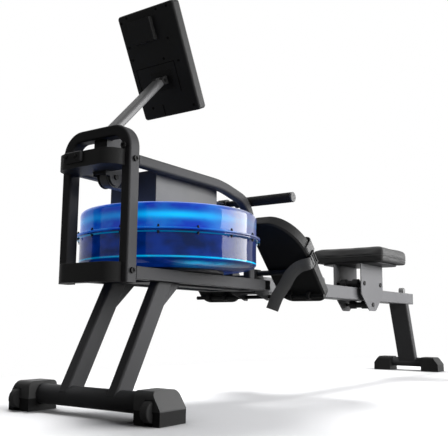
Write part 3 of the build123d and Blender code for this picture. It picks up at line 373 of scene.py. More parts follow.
finishes = {
    "frame_paint": skin("blackPowderCoat", "coat"),
    "cover_plastic": skin("blackMouldedPlastic", "plastic", 0.019, rough=0.46),
    "roller_plastic": skin("rollerNylon", "plastic", 0.03, grain=0.6, rough=0.40),
    "tank_shell": tankShell("blueClearShell"),
    "water": waterBody("blueWater"),
    "rubber_black": skin("blackRubber", "rubber", 0.02),
    "plug_plastic": skin("plugPlastic", "plastic", 0.03, rough=0.4),
    "steel": skin("blackenedSteel", "steel", 0.014),
    "screen": screenGlass("screenWindow"),
    "button_rubber": skin("greyKeyRubber", "rubber", 0.16),
    "grip_foam": skin("blackGripFoam", "foam", 0.022),
    "cap_grey": skin("greyEndCap", "plastic", 0.085, grain=0.8, rough=0.45),
    "webbing": wovenWebbing("blackWebbing", 0.070),
    "rail_metal": skin("satinRailCoat", "coat", ends=(0.10, 0.125), rough=0.36),
    "seat_vinyl": skin("darkSeatVinyl", "vinyl", 0.045),
    # near-black that paints the shade of holes and grooves
    "well": skin("wellShadeBlack", "plastic", 0.0015, rough=0.80),
}
displayGrey = skin("displayGrey", "plastic", 0.30, grain=22 / 15, rough=0.25)
displayInk = skin("displayInk", "plastic", 0.012, grain=22 / 15, rough=0.35)
# foot caps darker and rougher below a set height
footPlastic = lowBandPlastic("footCapPlastic", 0.058, 0.44)

# nodes that look a little different from the rest of their slot
ownFinish = {
    "monitor_arm": skin("armSatin", "satin", 0.105, rough=0.50),
    "drive_housing": skin("housingPlastic", "plastic", 0.104, rough=0.44),
    "front_foot_right": footPlastic,
    "front_foot_left": footPlastic,
    "seat_stops": skin("greyStopRubber", "rubber", 0.15),
    "monitor_case": skin("consolePlastic", "plastic", 0.036, rough=0.46),
}
slotOf = {entry["node"]: entry["material_slot"] for entry in frame["record"]["subparts"]}
for nodeName, cadNode in nodes.items():
    cadNode.data.materials.clear()
    cadNode.data.materials.append(finishes[slotOf[nodeName]])
print("materials made", len(finishes))


# mesh helpers, every piece is made in place in the frame's own coordinates
def bareObject(name, data):
    made = bpy.data.objects.new(name, data)
    bpy.context.scene.collection.objects.link(made)
    return made


def newPiece(name, mesh, body, slotName, *replaced, finish=None):
    piece = bareObject(name, mesh)
    mesh.materials.clear()
    mesh.materials.append(finish or finishes[slotName])
    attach(piece, body)
    if replaced:
        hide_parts(*replaced)
    return piece


def smoothed(mesh, angle=35.0):
    mesh.polygons.foreach_set("use_smooth", [True] * len(mesh.polygons))
    mesh.set_sharp_from_angle(angle=math.radians(angle))
    return mesh


def facedOut(mesh, angle, weld=0.0):
    shape = bmesh.new()
    shape.from_mesh(mesh)
    if weld:
        bmesh.ops.remove_doubles(shape, verts=shape.verts, dist=weld)
    bmesh.ops.recalc_face_normals(shape, faces=shape.faces)
    shape.to_mesh(mesh)
    shape.free()
    return smoothed(mesh, angle)


def meshFrom(name, points, faces, angle=35.0):
    mesh = bpy.data.meshes.new(name)
    mesh.from_pydata([tuple(point) for point in points], [], faces)
    return facedOut(mesh, angle, weld=1e-6)


def ringFaces(ringCount, perRing, closeRings):
    faces = []
    for ring in range(ringCount if closeRings else ringCount - 1):
        nextRing = (ring + 1) % ringCount
        for i in range(perRing):
            j = (i + 1) % perRing
            here, ahead = ring * perRing, nextRing * perRing
            faces.append((here + i, here + j, ahead + j, ahead + i))
    return faces


def lathe(name, profile, centre, steps, angle=35.0, wobble=None):
    points = []
    for k in range(steps):
        turn = 2 * math.pi * k / steps
        for radius, height in profile:
            lift = wobble(turn, radius, height) if wobble else 0.0
            x = centre[0] + radius * math.cos(turn)
            y = centre[1] + radius * math.sin(turn)
            points.append((x, y, height + lift))
    return meshFrom(name, points, ringFaces(steps, len(profile), True), angle)


def evaluated(piece):
    graph = bpy.context.evaluated_depsgraph_get()
    graph.update()
    return bpy.data.meshes.new_from_object(piece.evaluated_get(graph))



def baked(name, mesh, kind, **settings):
    # the mesh after one modifier
    maker = bareObject(name + "Maker", mesh)
    modifier = maker.modifiers.new(kind, kind)
    for key, value in settings.items():
        setattr(modifier, key, value)
    done = evaluated(maker)
    done.name = name
    bpy.data.objects.remove(maker)
    return done


def bevelled(name, mesh, width, segments=2, angle=32.0):
    return baked(name, mesh, "BEVEL", width=width, segments=segments, limit_method="ANGLE",
                 angle_limit=math.radians(angle), harden_normals=True)


boxFaces = ((0, 1, 3, 2), (4, 6, 7, 5), (0, 4, 5, 1), (2, 3, 7, 6), (0, 2, 6, 4), (1, 5, 7, 3))


def boxMesh(name, boxes, place):
    points = []
    faces = []
    for low, high in boxes:
        start = len(points)
        for x in (low[0], high[0]):
            for y in (low[1], high[1]):
                for z in (low[2], high[2]):
                    points.append(place @ Vector((x, y, z)))
        for face in boxFaces:
            faces.append(tuple(start + corner for corner in face))
    return meshFrom(name, points, faces)


def boxPiece(name, boxes, place, body, slotName, rounding=0.0, segments=2, finish=None):
    mesh = boxMesh(name, boxes, place)
    if rounding:
        mesh = bevelled(name, mesh, rounding, segments)
    newPiece(name, mesh, body, slotName, finish=finish)


# straps: a flat band swept along its route, with its own weave coordinates
bandCorners = ((-0.5, 0.22), (-0.47, 0.5), (0.47, 0.5), (0.5, 0.22),
               (0.5, -0.22), (0.47, -0.5), (-0.47, -0.5), (-0.5, -0.22))


def bandMesh(name, route, acrossList, width, thick, closed=False):
    points = []
    lengths = [0.0]
    for before, after in zip(route, route[1:]):
        lengths.append(lengths[-1] + (after - before).length)
    count = len(route)
    for i, place in enumerate(route):
        if closed:
            ahead = route[(i + 1) % count] - route[i - 1]
        else:
            ahead = route[min(i + 1, count - 1)] - route[max(i - 1, 0)]
        across = acrossList[i].normalized()
        out = ahead.normalized().cross(across).normalized()
        for side, lift in bandCorners:
            points.append(place + across * (side * width) + out * (lift * thick))
    per = len(bandCorners)
    faces = ringFaces(count, per, closed)
    if not closed:
        faces.append(tuple(range(per)))
        faces.append(tuple(reversed(range((count - 1) * per, count * per))))
    mesh = bpy.data.meshes.new(name)
    mesh.from_pydata([tuple(point) for point in points], [], faces)
    layer = mesh.uv_layers.new(name="weave")
    total = lengths[-1] + ((route[0] - route[-1]).length if closed else 0.0)
    for polygon in mesh.polygons:
        ring = {mesh.loops[k].vertex_index // per for k in polygon.loop_indices}
        wraps = closed and len(ring) == 2 and max(ring) - min(ring) > 1
        for k in polygon.loop_indices:
            index = mesh.loops[k].vertex_index
            along = lengths[index // per]
            if wraps and index // per == 0:
                along = total
            layer.data[k].uv = (bandCorners[index % per][0] + 0.5, along)
    return facedOut(mesh, 50.0)


def curveThrough(points, perRun):
    # smooth line through given stations
    line = []
    last = len(points) - 1
    for i in range(last):
        p0, p1, p2, p3 = points[max(i - 1, 0)], points[i], points[i + 1], points[min(i + 2, last)]
        for k in range(perRun):
            t = k / perRun
            square = (2 * p0 - 5 * p1 + 4 * p2 - p3) * t * t
            cube = (3 * p1 - p0 - 3 * p2 + p3) * t ** 3
            line.append(0.5 * ((2 * p1) + (p2 - p0) * t + square + cube))
    line.append(points[-1].copy())
    return line


# Geometry Nodes: hex screws with washers on marked spots, and rows of moulded bars
def startTree(name, inputs):
    tree = bpy.data.node_groups.new(name, "GeometryNodeTree")
    tree.interface.new_socket("Geometry", in_out="INPUT", socket_type="NodeSocketGeometry")
    for label, kind in inputs:
        tree.interface.new_socket(label, in_out="INPUT", socket_type=kind)
    tree.interface.new_socket("Geometry", in_out="OUTPUT", socket_type="NodeSocketGeometry")
    kit = Kit(tree)
    return tree, kit, kit.node("NodeGroupInput")


def endTree(kit, instances, material):
    real = kit.node("GeometryNodeRealizeInstances", None, {"Geometry": instances})
    painted = kit.node("GeometryNodeSetMaterial", None, {"Geometry": kit.out(real), "Material": material})
    kit.node("NodeGroupOutput", None, {"Geometry": kit.out(painted)})


def grown(name, tree, mesh, values):
    maker = bareObject(name + "Maker", mesh)
    modifier = maker.modifiers.new("grow", "NODES")
    modifier.node_group = tree
    for item in tree.interface.items_tree:
        if item.in_out == "INPUT" and item.name in values:
            modifier[item.identifier] = values[item.name]
    done = evaluated(maker)
    done.name = name
    bpy.data.objects.remove(maker)
    return done


screwShape = {"washerSides": 20, "washerShare": 0.4, "headSides": 6, "headTop": 0.62, "headBottom": 0.74,
              "sharp": 30.0}


def screwTree():
    tree, kit, inputs = startTree("hexScrews", (("headRadius", "NodeSocketFloat"), ("headHeight", "NodeSocketFloat"),
                                                ("screwMaterial", "NodeSocketMaterial")))
    radius = kit.out(inputs, "headRadius")
    height = kit.out(inputs, "headHeight")
    washer = kit.node("GeometryNodeMeshCylinder", None,
                      {"Vertices": screwShape["washerSides"], "Radius": radius,
                       "Depth": height * screwShape["washerShare"]})
    head = kit.node("GeometryNodeMeshCone", None,
                    {"Vertices": screwShape["headSides"], "Radius Top": radius * screwShape["headTop"],
                     "Radius Bottom": radius * screwShape["headBottom"], "Depth": height})
    stack = kit.node("GeometryNodeJoinGeometry")
    for made in (washer, head):
        kit.tree.links.new(made.outputs["Mesh"], stack.inputs[0])
    facing = kit.node("GeometryNodeInputNamedAttribute", {"data_type": "FLOAT_VECTOR"}, {"Name": "facing"})
    turned = kit.node("FunctionNodeAlignRotationToVector", {"axis": "Z"}, {"Vector": kit.out(facing, "Attribute")})
    spread = kit.node("GeometryNodeInstanceOnPoints", None,
                      {"Points": kit.out(inputs, "Geometry"), "Instance": kit.out(stack),
                       "Rotation": kit.out(turned)})
    endTree(kit, kit.out(spread), kit.out(inputs, "screwMaterial"))
    return tree


def barTree():
    tree, kit, inputs = startTree("mouldedBars", (("barSize", "NodeSocketVector"), ("barTurn", "NodeSocketVector"),
                                                  ("barMaterial", "NodeSocketMaterial")))
    bar = kit.node("GeometryNodeMeshCube", None, {"Size": kit.out(inputs, "barSize")})
    turned = kit.node("FunctionNodeEulerToRotation", None, {"Euler": kit.out(inputs, "barTurn")})
    length = kit.node("GeometryNodeInputNamedAttribute", {"data_type": "FLOAT_VECTOR"}, {"Name": "stretch"})
    spread = kit.node("GeometryNodeInstanceOnPoints", None,
                      {"Points": kit.out(inputs, "Geometry"), "Instance": kit.out(bar, "Mesh"),
                       "Rotation": kit.out(turned), "Scale": kit.out(length, "Attribute")})
    endTree(kit, kit.out(spread), kit.out(inputs, "barMaterial"))
    return tree


def markedPoints(name, spots, label):
    mesh = bpy.data.meshes.new(name)
    mesh.from_pydata([tuple(place) for place, mark in spots], [], [])
    marks = mesh.attributes.new(label, "FLOAT_VECTOR", "POINT")
    marks.data.foreach_set("vector", [value for place, mark in spots for value in mark])
    return mesh


hexScrews = screwTree()
mouldedBars = barTree()


def screwPiece(name, spots, radius, height, finish, body, slotName, *replaced):
    mesh = grown(name, hexScrews, markedPoints(name, spots, "facing"),
                 {"headRadius": radius, "headHeight": height, "screwMaterial": finishes[finish]})
    newPiece(name, smoothed(mesh, screwShape["sharp"]), body, slotName, *replaced, finish=finishes[finish])


print("helpers ready")

# edges of the moulded and cut parts, rounded as the real ones are
softEdges = {
    "base_frame": 0.0030, "base_front_bar": 0.0020, "pulley_guard": 0.0011, "drive_housing": 0.0030,
    "pulley_mast": 0.0012, "handle_hooks": 0.0012, "handle_grips": 0.0030, "handle_yoke": 0.0020,
    "handle_end_caps": 0.0018, "monitor_case": 0.0020, "carriage_plates": 0.0010, "seat_pan": 0.0015,
    "seat_stops": 0.0020, "rail_end_cap": 0.0020, "rear_feet": 0.0060, "front_foot_right": 0.0050,
    "front_foot_left": 0.0050, "footplate_right": 0.0015, "footplate_left": 0.0015, "pedal_bracket": 0.0012,
    "rear_leg": 0.0025, "monitor_arm": 0.0012, "tank_cradle": 0.0012, "fill_plug": 0.0012,
    "transport_wheel_right": 0.0015, "transport_wheel_left": 0.0015,
}
softSettings = {"merge": 2e-6, "flat": 0.5, "sharp": 32.0}


def softNode(nodeName, width):
    source = nodes[nodeName].data
    shape = bmesh.new()
    shape.from_mesh(source)
    bmesh.ops.remove_doubles(shape, verts=shape.verts, dist=softSettings["merge"])
    flat = math.radians(softSettings["flat"])
    bmesh.ops.dissolve_limit(shape, angle_limit=flat, verts=shape.verts, edges=shape.edges)
    merged = bpy.data.meshes.new(nodeName + "Merged")
    shape.verts.index_update()
    merged.from_pydata([vert.co[:] for vert in shape.verts], [],
                       [[vert.index for vert in face.verts] for face in shape.faces])
    shape.free()
    mesh = bevelled(nodeName + "Soft", smoothed(merged, softSettings["sharp"]), width)
    slotName = slotOf[nodeName]
    newPiece(nodeName + "Soft", mesh, bodyOf[nodeName], slotName, nodeName, finish=ownFinish.get(nodeName))


for softName, softWidth in softEdges.items():
    softNode(softName, softWidth)
print("edges rounded", len(softEdges))


# tank: two blown shells that meet at bolted lips
tankSizes = {"steps": 192, "wall": 0.004, "radius": 0.2375, "lip": 0.2476, "lipThick": 0.004, "lipEdge": 0.001,
             "fillet": 0.003, "foot": 0.165, "floor": 0.350, "bowlTop": 0.368, "split": 0.4327, "halfSeal": 0.001,
             "top": 0.5017, "shoulder": 0.014, "hub": 0.030, "crown": 0.205, "crownInner": 0.203, "crownRing": 0.110,
             "crownDrop": 0.0012, "upperMiddle": 0.460, "upperDraft": 0.0006, "lowerMiddle": 0.400,
             "lowerDraft": 0.0005, "lipSteps": 4, "shoulderSteps": (10, 8), "bowlSteps": (14, 12)}


def quarter(centre, reach, rise, start, end, steps):
    turns = [math.radians(start + (end - start) * k / steps) for k in range(steps + 1)]
    return [(centre[0] + reach * math.cos(turn), centre[1] + rise * math.sin(turn)) for turn in turns]


def lipProfile(inner, flat, way):
    # the lip from the seal outwards and back, then its fillet into the wall
    s = tankSizes
    far = flat + way * s["lipThick"]
    edge = s["lipEdge"]
    profile = [(inner, flat), (s["lip"] - edge, flat), (s["lip"], flat + way * edge), (s["lip"], far - way * edge),
               (s["lip"] - edge, far)]
    fillet = s["fillet"]
    centre = (s["radius"] + fillet, far + way * fillet)
    return profile + quarter(centre, fillet, fillet, 180 + way * 90, 180, s["lipSteps"])


def upperShellProfile():
    s = tankSizes
    inner = s["radius"] - s["wall"]
    under = s["top"] - s["wall"]
    dropped = s["top"] - s["crownDrop"]
    outerRound = s["shoulder"]
    innerRound = outerRound - s["wall"]
    profile = lipProfile(inner, s["split"] + s["halfSeal"], 1)
    profile += [(s["radius"] - s["upperDraft"], s["upperMiddle"])]
    centre = (s["radius"] - outerRound, s["top"] - outerRound)
    profile += quarter(centre, outerRound, outerRound, 0, 90, s["shoulderSteps"][0])
    profile += [(s["crown"], s["top"]), (s["crownInner"], dropped), (s["crownRing"], dropped), (s["hub"], dropped),
                (s["hub"], under), (s["crown"], under)]
    centre = (inner - innerRound, under - innerRound)
    profile += quarter(centre, innerRound, innerRound, 90, 0, s["shoulderSteps"][1])
    return profile + [(inner, s["upperMiddle"])]


def lowerShellProfile():
    s = tankSizes
    inner = s["radius"] - s["wall"]
    bowl = s["radius"] - s["foot"]
    rise = s["bowlTop"] - s["floor"]
    within = s["floor"] + s["wall"]
    profile = lipProfile(inner, s["split"] - s["halfSeal"], -1)
    profile += [(s["radius"] - s["lowerDraft"], s["lowerMiddle"])]
    profile += quarter((s["foot"], s["bowlTop"]), bowl, rise, 0, -90, s["bowlSteps"][0])
    profile += [(s["hub"], s["floor"]), (s["hub"], within), (s["foot"], within)]
    profile += quarter((s["foot"], s["bowlTop"]), bowl - s["wall"], rise - s["wall"], -90, 0, s["bowlSteps"][1])
    return profile + [(inner, s["lowerMiddle"])]


def buildTank():
    for half, profile in (("Upper", upperShellProfile()), ("Lower", lowerShellProfile())):
        shell = lathe("tank" + half, profile, (tankX, 0.0), tankSizes["steps"])
        node = "tank_" + half.lower() + "_shell"
        newPiece("tank" + half, shell, "frame", "tank_shell", node)


# water swung out against the wall, its surface dished and rippled
waterSizes = {"inner": 0.1568, "outer": 0.2330, "floor": 0.3548, "bowlTop": 0.369, "bowlRise": 0.0135,
              "middle": 0.400, "top": 0.4362, "dish": 0.0045, "ripple": 0.0010, "still": 0.006, "rings": 8,
              "bowlSteps": 10, "steps": 160, "waves": ((1.0, 7, 40), (0.5, 17, 0))}


def waterLift(turn, radius, height):
    if height < waterSizes["top"] - waterSizes["still"]:
        return 0.0
    waves = [share * math.sin(count * turn + lag * radius) for share, count, lag in waterSizes["waves"]]
    return waterSizes["ripple"] * sum(waves)


def buildWater():
    s = waterSizes
    foot = tankSizes["foot"]
    profile = [(s["inner"], s["floor"]), (foot, s["floor"])]
    profile += quarter((foot, s["bowlTop"]), s["outer"] - foot, s["bowlRise"], -90, 0, s["bowlSteps"])
    profile += [(s["outer"], s["middle"]), (s["outer"], s["top"])]
    for k in range(1, s["rings"] + 1):
        share = k / s["rings"]
        profile.append((s["outer"] + (s["inner"] - s["outer"]) * share, s["top"] - s["dish"] * share))
    mesh = lathe("tankWaterSwirl", profile, (tankX, 0.0), s["steps"], wobble=waterLift)
    newPiece("tankWaterSwirl", mesh, "frame", "water", "tank_water")


# screws through the lips, a head above and a nut below
lipScrews = {"count": 16, "first": 11.25, "radius": 0.2437, "head": 0.0038, "rise": 0.0056, "off": 0.0056}


def buildLipScrews():
    spots = []
    for k in range(lipScrews["count"]):
        turn = math.radians(lipScrews["first"] + 360 / lipScrews["count"] * k)
        x = tankX + lipScrews["radius"] * math.cos(turn)
        y = lipScrews["radius"] * math.sin(turn)
        for way in (1, -1):
            spots.append(((x, y, tankSizes["split"] + way * lipScrews["off"]), (0, 0, way)))
    screwPiece("lipScrews", spots, lipScrews["head"], lipScrews["rise"], "steel", "frame", "steel", "tank_screws")


buildTank()
buildWater()
buildLipScrews()
print("tank done")


# seat: vinyl over foam, swollen by a short cloth run, then piped round its side
padSizes = {"centre": (1269.0, 0.0), "half": (0.1345, 0.1575), "floor": 0.4645, "top": 0.5225, "shrink": 0.0008,
            "corner": 0.012, "cornerLeast": 0.004, "cornerSteps": 8, "sideSteps": 16, "bow": 0.0022, "dish": 0.0075,
            "dishX": -0.005, "dishY": 0.062, "dishLong": 0.055, "dishWide": 0.045, "rearRise": 0.0015,
            "rearReach": 0.13, "crownFrom": 0.0014, "voxel": 0.0045, "pressure": 3.0, "frames": 20, "cap": 0.0042,
            "above": 0.004, "below": 0.0001, "evenings": 14, "keep": 0.4, "pipe": 0.0018, "pipeSides": 8,
            "pipeHeight": 0.4865}
# rings of the cushion: share of the outline, inset, and height over the floor or under the top
padLowRings = ((0.0, 0.010, 0.0), (0.5, 0.010, 0.0), (1.0, 0.010, 0.0), (1.0, 0.0045, 0.0015), (1.0, 0.001, 0.006),
               (1.0, 0.0, 0.014), (1.0, 0.0012, 0.022), (1.0, 0.0, 0.030))
padHighRings = ((1.0, 0.001, 0.012), (1.0, 0.004, 0.005), (1.0, 0.010, 0.0012), (1.0, 0.020, 0.0), (0.8, 0.020, 0.0),
                (0.6, 0.020, 0.0), (0.4, 0.020, 0.0), (0.2, 0.020, 0.0), (0.0, 0.020, 0.0))


def padOutline(grow):
    # rounded rectangle, its sides drawn in between the corners
    reachX, reachY = (half + grow for half in padSizes["half"])
    corner = max(padSizes["corner"] + grow, padSizes["cornerLeast"])
    steps = padSizes["sideSteps"]
    arcs = []
    for k, (signX, signY) in enumerate(((1, 1), (-1, 1), (-1, -1), (1, -1))):
        middle = Vector((signX * (reachX - corner), signY * (reachY - corner)))
        turns = [math.pi / 2 * (k + i / padSizes["cornerSteps"]) for i in range(padSizes["cornerSteps"] + 1)]
        arcs.append([middle + corner * Vector((math.cos(turn), math.sin(turn))) for turn in turns])
    line = []
    for k, arc in enumerate(arcs):
        line += arc
        last = math.pi / 2 * (k + 1)
        inward = Vector((-math.cos(last), -math.sin(last)))
        for j in range(1, steps):
            share = j / steps
            along = arc[-1].lerp(arcs[(k + 1) % 4][0], share)
            line.append(along + inward * padSizes["bow"] * 4 * share * (1 - share))
    return line


def padTop(x, y, top):
    # two shallow hollows, and a rise to the rear
    s = padSizes
    hollow = 0.0
    for side in (-1, 1):
        gapX = (x - s["dishX"]) / s["dishLong"]
        gapY = (y - side * s["dishY"]) / s["dishWide"]
        hollow += math.exp(-gapX ** 2 - gapY ** 2)
    return top - s["dish"] * hollow + s["rearRise"] * x / s["rearReach"]


def padMesh():
    middle = at(*padSizes["centre"], 0)
    low = padSizes["floor"]
    high = padSizes["top"]
    rings = [(share, inset, low + up) for share, inset, up in padLowRings]
    rings += [(share, inset, high - down) for share, inset, down in padHighRings]
    points = []
    for share, inset, height in rings:
        line = padOutline(-padSizes["shrink"] - inset)
        for x, y in line:
            crowned = height > high - padSizes["crownFrom"]
            lift = padTop(x * share, y * share, height) if crowned else height
            points.append((middle.x + x * share, middle.y + y * share, lift))
    return meshFrom("seatCushion", points, ringFaces(len(rings), len(line), False), angle=60.0)


def evenedMove(move, mesh):
    # neighbours share their movement, so that no wrinkles stay
    ends = np.empty(len(mesh.edges) * 2, dtype=np.int64)
    mesh.edges.foreach_get("vertices", ends)
    first, second = ends.reshape(-1, 2).T
    degree = np.bincount(ends, minlength=len(move)).reshape(-1, 1)
    for turn in range(padSizes["evenings"]):
        total = np.zeros_like(move)
        np.add.at(total, first, move[second])
        np.add.at(total, second, move[first])
        move = padSizes["keep"] * move + (1 - padSizes["keep"]) * total / np.maximum(degree, 1)
    return move


def swollen(mesh):
    # pressed outwards by air, each point held within the cap
    even = baked("seatCushionEven", mesh, "REMESH", mode="VOXEL", voxel_size=padSizes["voxel"])
    before = np.empty(len(even.vertices) * 3)
    even.vertices.foreach_get("co", before)
    blown = bareObject("seatCushionBlown", even)
    cloth = blown.modifiers.new("swell", "CLOTH")
    cloth.settings.use_pressure = True
    cloth.settings.uniform_pressure_force = padSizes["pressure"]
    cloth.settings.effector_weights.gravity = 0.0
    scene = bpy.context.scene
    for step in range(1, padSizes["frames"] + 1):
        scene.frame_set(step)
    done = evaluated(blown)
    scene.frame_set(1)
    bpy.data.objects.remove(blown)
    after = np.empty(len(done.vertices) * 3)
    done.vertices.foreach_get("co", after)
    move = evenedMove((after - before).reshape(-1, 3), done)
    length = np.maximum(np.linalg.norm(move, axis=1, keepdims=True), 1e-9)
    held = before.reshape(-1, 3) + move * np.minimum(1.0, padSizes["cap"] / length)
    lowest = padSizes["floor"] - padSizes["below"]  # flat where it rests
    held[:, 2] = np.clip(held[:, 2], lowest, padSizes["top"] + padSizes["above"])
    done.vertices.foreach_set("co", held.ravel())
    return done


def pipingMesh(pad):
    tree = BVHTree.FromPolygons([vert.co[:] for vert in pad.vertices], [poly.vertices[:] for poly in pad.polygons])
    middle = at(*padSizes["centre"], 0)
    sides = padSizes["pipeSides"]
    upward = Vector((0, 0, 1))
    ring = []
    for x, y in padOutline(0.0):
        near = tree.find_nearest(Vector((middle.x + x, y, padSizes["pipeHeight"])))[0]
        ring.append(Vector((near.x, near.y, padSizes["pipeHeight"])))
    points = []
    for k, place in enumerate(ring):
        ahead = (ring[(k + 1) % len(ring)] - ring[k - 1]).normalized()
        out = ahead.cross(upward)
        for turn in range(sides):
            angle = turn * 2 * math.pi / sides
            points.append(place + padSizes["pipe"] * (math.cos(angle) * out + math.sin(angle) * upward))
    return meshFrom("seatPiping", points, ringFaces(len(ring), sides, True), angle=60.0)


def buildSeat():
    pad = padMesh()
    pad = swollen(pad)
    done = smoothed(baked("seatCushion", pad, "SUBSURF", levels=1, render_levels=1), angle=70.0)
    cushion = newPiece("seatCushion", done, "seat", "seat_vinyl", "seat_pad")
    newPiece("seatPiping", pipingMesh(done), "seat", "seat_vinyl")


buildSeat()
print("seat done")


# foot straps: a loop over the instep, a ladder buckle and a loose tail
footSides = (("right", -1), ("left", 1))
footSizes = {"heel": (490.0, 156.0, 290.0), "slope": 46.0, "loopAlong": 0.188, "loopSteps": 6, "width": 0.038,
             "thick": 0.002, "leftTailSteps": 4, "tailSteps": 7, "tailStart": 0.004, "turnFrom": 5, "turnOver": 11,
             "facing": (-0.8, -0.35, -0.5), "tail": ((-12, 5, -6), (-19, 34, -15), (-19, 61, -35), (-10, 87, -66),
                                                     (-3, 117, -100), (10, 143, -138))}
loopHalf = ((0.0, -0.0062), (0.055, -0.0062), (0.074, -0.0061), (0.0803, -0.0045), (0.0813, 0.002), (0.0813, 0.020),
            (0.0795, 0.033), (0.072, 0.043), (0.057, 0.0472), (0.032, 0.0478), (0.0, 0.048))
# ladder buckle, in the plate's frame: two rails, and bars with their nudge outwards and height
buckleSizes = {"along": 0.159, "out": 0.0858, "halfTall": 0.015, "railHalf": 0.0032, "railFrom": -0.022,
               "railTo": -0.0165, "railPitch": 0.0385, "barIn": 0.0028, "barOut": 0.0024, "barHalf": 0.018,
               "barTall": 0.0052, "bars": ((0.0, -0.015), (0.0012, -0.0026), (0.0, 0.0098)), "round": 0.0013}


def footFrame(sign):
    # across points to the outer side, along to the toes, the third away from the sole
    slope = math.radians(footSizes["slope"])
    heel = footSizes["heel"]
    across = Vector((0, sign, 0))
    along = Vector((-math.cos(slope), 0, math.sin(slope)))
    normal = Vector((math.sin(slope), 0, math.cos(slope)))
    turned = Matrix((across, along, normal)).transposed().to_4x4()
    return Matrix.Translation(at(heel[0], sign * heel[1], heel[2])) @ turned


def instepLoop(name, plate):
    half = [Vector((x, footSizes["loopAlong"], z)) for x, z in loopHalf]
    other = [Vector((-point.x, point.y, point.z)) for point in reversed(half[1:-1])]
    closedLine = curveThrough(half + other + [half[0]], footSizes["loopSteps"])[:-1]
    route = [plate @ point for point in closedLine]
    along = plate.to_3x3() @ Vector((0, 1, 0))
    return bandMesh(name, route, [along] * len(route), footSizes["width"], footSizes["thick"], closed=True)


def ladderBoxes():
    b = buckleSizes
    mid, out, tall = b["along"], b["out"], b["halfTall"]
    boxes = [((out - b["railHalf"], mid + b["railFrom"] + step, -tall),
              (out + b["railHalf"], mid + b["railTo"] + step, tall)) for step in (0.0, b["railPitch"])]
    boxes += [((out - b["barIn"] + nudge, mid - b["barHalf"], height),
               (out + b["barOut"] + nudge, mid + b["barHalf"], height + b["barTall"]))
              for nudge, height in b["bars"]]
    return boxes


def looseTail(name, plate, sign):
    start = plate @ Vector((buckleSizes["out"], buckleSizes["along"], -buckleSizes["halfTall"]))
    stations = [plate @ Vector((buckleSizes["out"], buckleSizes["along"], footSizes["tailStart"])), start]
    steps = footSizes["tail"][:footSizes["leftTailSteps"]] if sign > 0 else footSizes["tail"]
    stations += [start + Vector((x, -sign * y, z)) / 1000 for x, y, z in steps]
    line = curveThrough(stations, footSizes["tailSteps"])
    facing = Vector((footSizes["facing"][0], -sign * footSizes["facing"][1], footSizes["facing"][2]))
    first = plate.to_3x3() @ Vector((0, 1, 0))
    acrossList = []
    for i in range(len(line)):
        ahead = (line[min(i + 1, len(line) - 1)] - line[max(i - 1, 0)]).normalized()
        wide = ahead.cross(facing).normalized()
        share = min(1.0, max(0.0, (i - footSizes["turnFrom"]) / footSizes["turnOver"]))
        if wide.dot(first) < 0:
            wide = -wide
        acrossList.append((first * (1 - share) + wide * share).normalized())
    return bandMesh(name, line, acrossList, footSizes["width"], footSizes["thick"])


def buildFootStrap(sideName, sign):
    plate = footFrame(sign)
    body = "pedal_" + sideName
    loop = instepLoop("instepLoop_" + sideName, plate)
    newPiece("instepLoop_" + sideName, loop, body, "webbing", "foot_strap_" + sideName)
    boxPiece("strapBuckle_" + sideName, ladderBoxes(), plate, body, "webbing", buckleSizes["round"],
             finish=finishes["cover_plastic"])
    tail = looseTail("strapTail_" + sideName, plate, sign)
    newPiece("strapTail_" + sideName, tail, body, "webbing")


for sideName, sideSign in footSides:
    buildFootStrap(sideName, sideSign)
print("foot straps done")


# moulded tread on the soles, bars across the foot that follow the outline
treadSizes = {"from": 22.0, "to": 286.0, "pitch": 9.5, "margin": 10.0, "least": 20.0, "wide": 0.0034,
              "rise": 0.0024, "round": 0.0006, "gap": (164.0, 212.0)}
soleSizes = {"half": 80.0, "heelInner": 45.0, "heelOuter": 32.0, "toeFrom": 173.0, "toeLong": 135.0,
             "toeMiddle": -21.0, "toeHalf": 101.0, "tipFrom": 283.0, "tipRound": 25.0}


def arcGap(radius, off):
    # how far a rounded corner lies inside its square one
    return radius - math.sqrt(max(0.0, radius ** 2 - off ** 2))


def soleReach(along):
    # inner and outer edge of the sole, in mm from its middle
    s = soleSizes
    inner = -s["half"]
    outer = s["half"]
    if along < s["heelInner"]:
        inner += arcGap(s["heelInner"], s["heelInner"] - along)
    if along < s["heelOuter"]:
        outer -= arcGap(s["heelOuter"], s["heelOuter"] - along)
    if along > s["toeFrom"]:
        share = (along - s["toeFrom"]) / s["toeLong"]
        outer = s["toeMiddle"] + s["toeHalf"] * math.sqrt(max(0.0, 1 - share ** 2))
    if along > s["tipFrom"]:
        inner += arcGap(s["tipRound"], along - s["tipFrom"])
    return inner + treadSizes["margin"], outer - treadSizes["margin"]


def buildTread(sideName, sign):
    plate = footFrame(sign)
    spots = []
    along = treadSizes["from"]
    while along < treadSizes["to"]:
        inner, outer = soleReach(along)
        underLoop = treadSizes["gap"][0] < along < treadSizes["gap"][1]
        if outer - inner > treadSizes["least"] and not underLoop:
            place = plate @ Vector(((inner + outer) / 2000, along / 1000, 0.0))
            spots.append((place, ((outer - inner) / 1000, 1.0, 1.0)))
        along += treadSizes["pitch"]
    turn = footFrame(1).to_euler("XYZ")
    mesh = grown("soleTread_" + sideName, mouldedBars, markedPoints("soleTread", spots, "stretch"),
                 {"barSize": (1.0, treadSizes["wide"], treadSizes["rise"]), "barTurn": tuple(turn),
                  "barMaterial": finishes["cover_plastic"]})
    mesh = bevelled("soleTread_" + sideName, mesh, treadSizes["round"])
    newPiece("soleTread_" + sideName, mesh, "pedal_" + sideName, "cover_plastic")


for sideName, sideSign in footSides:
    buildTread(sideName, sideSign)
print("tread done")


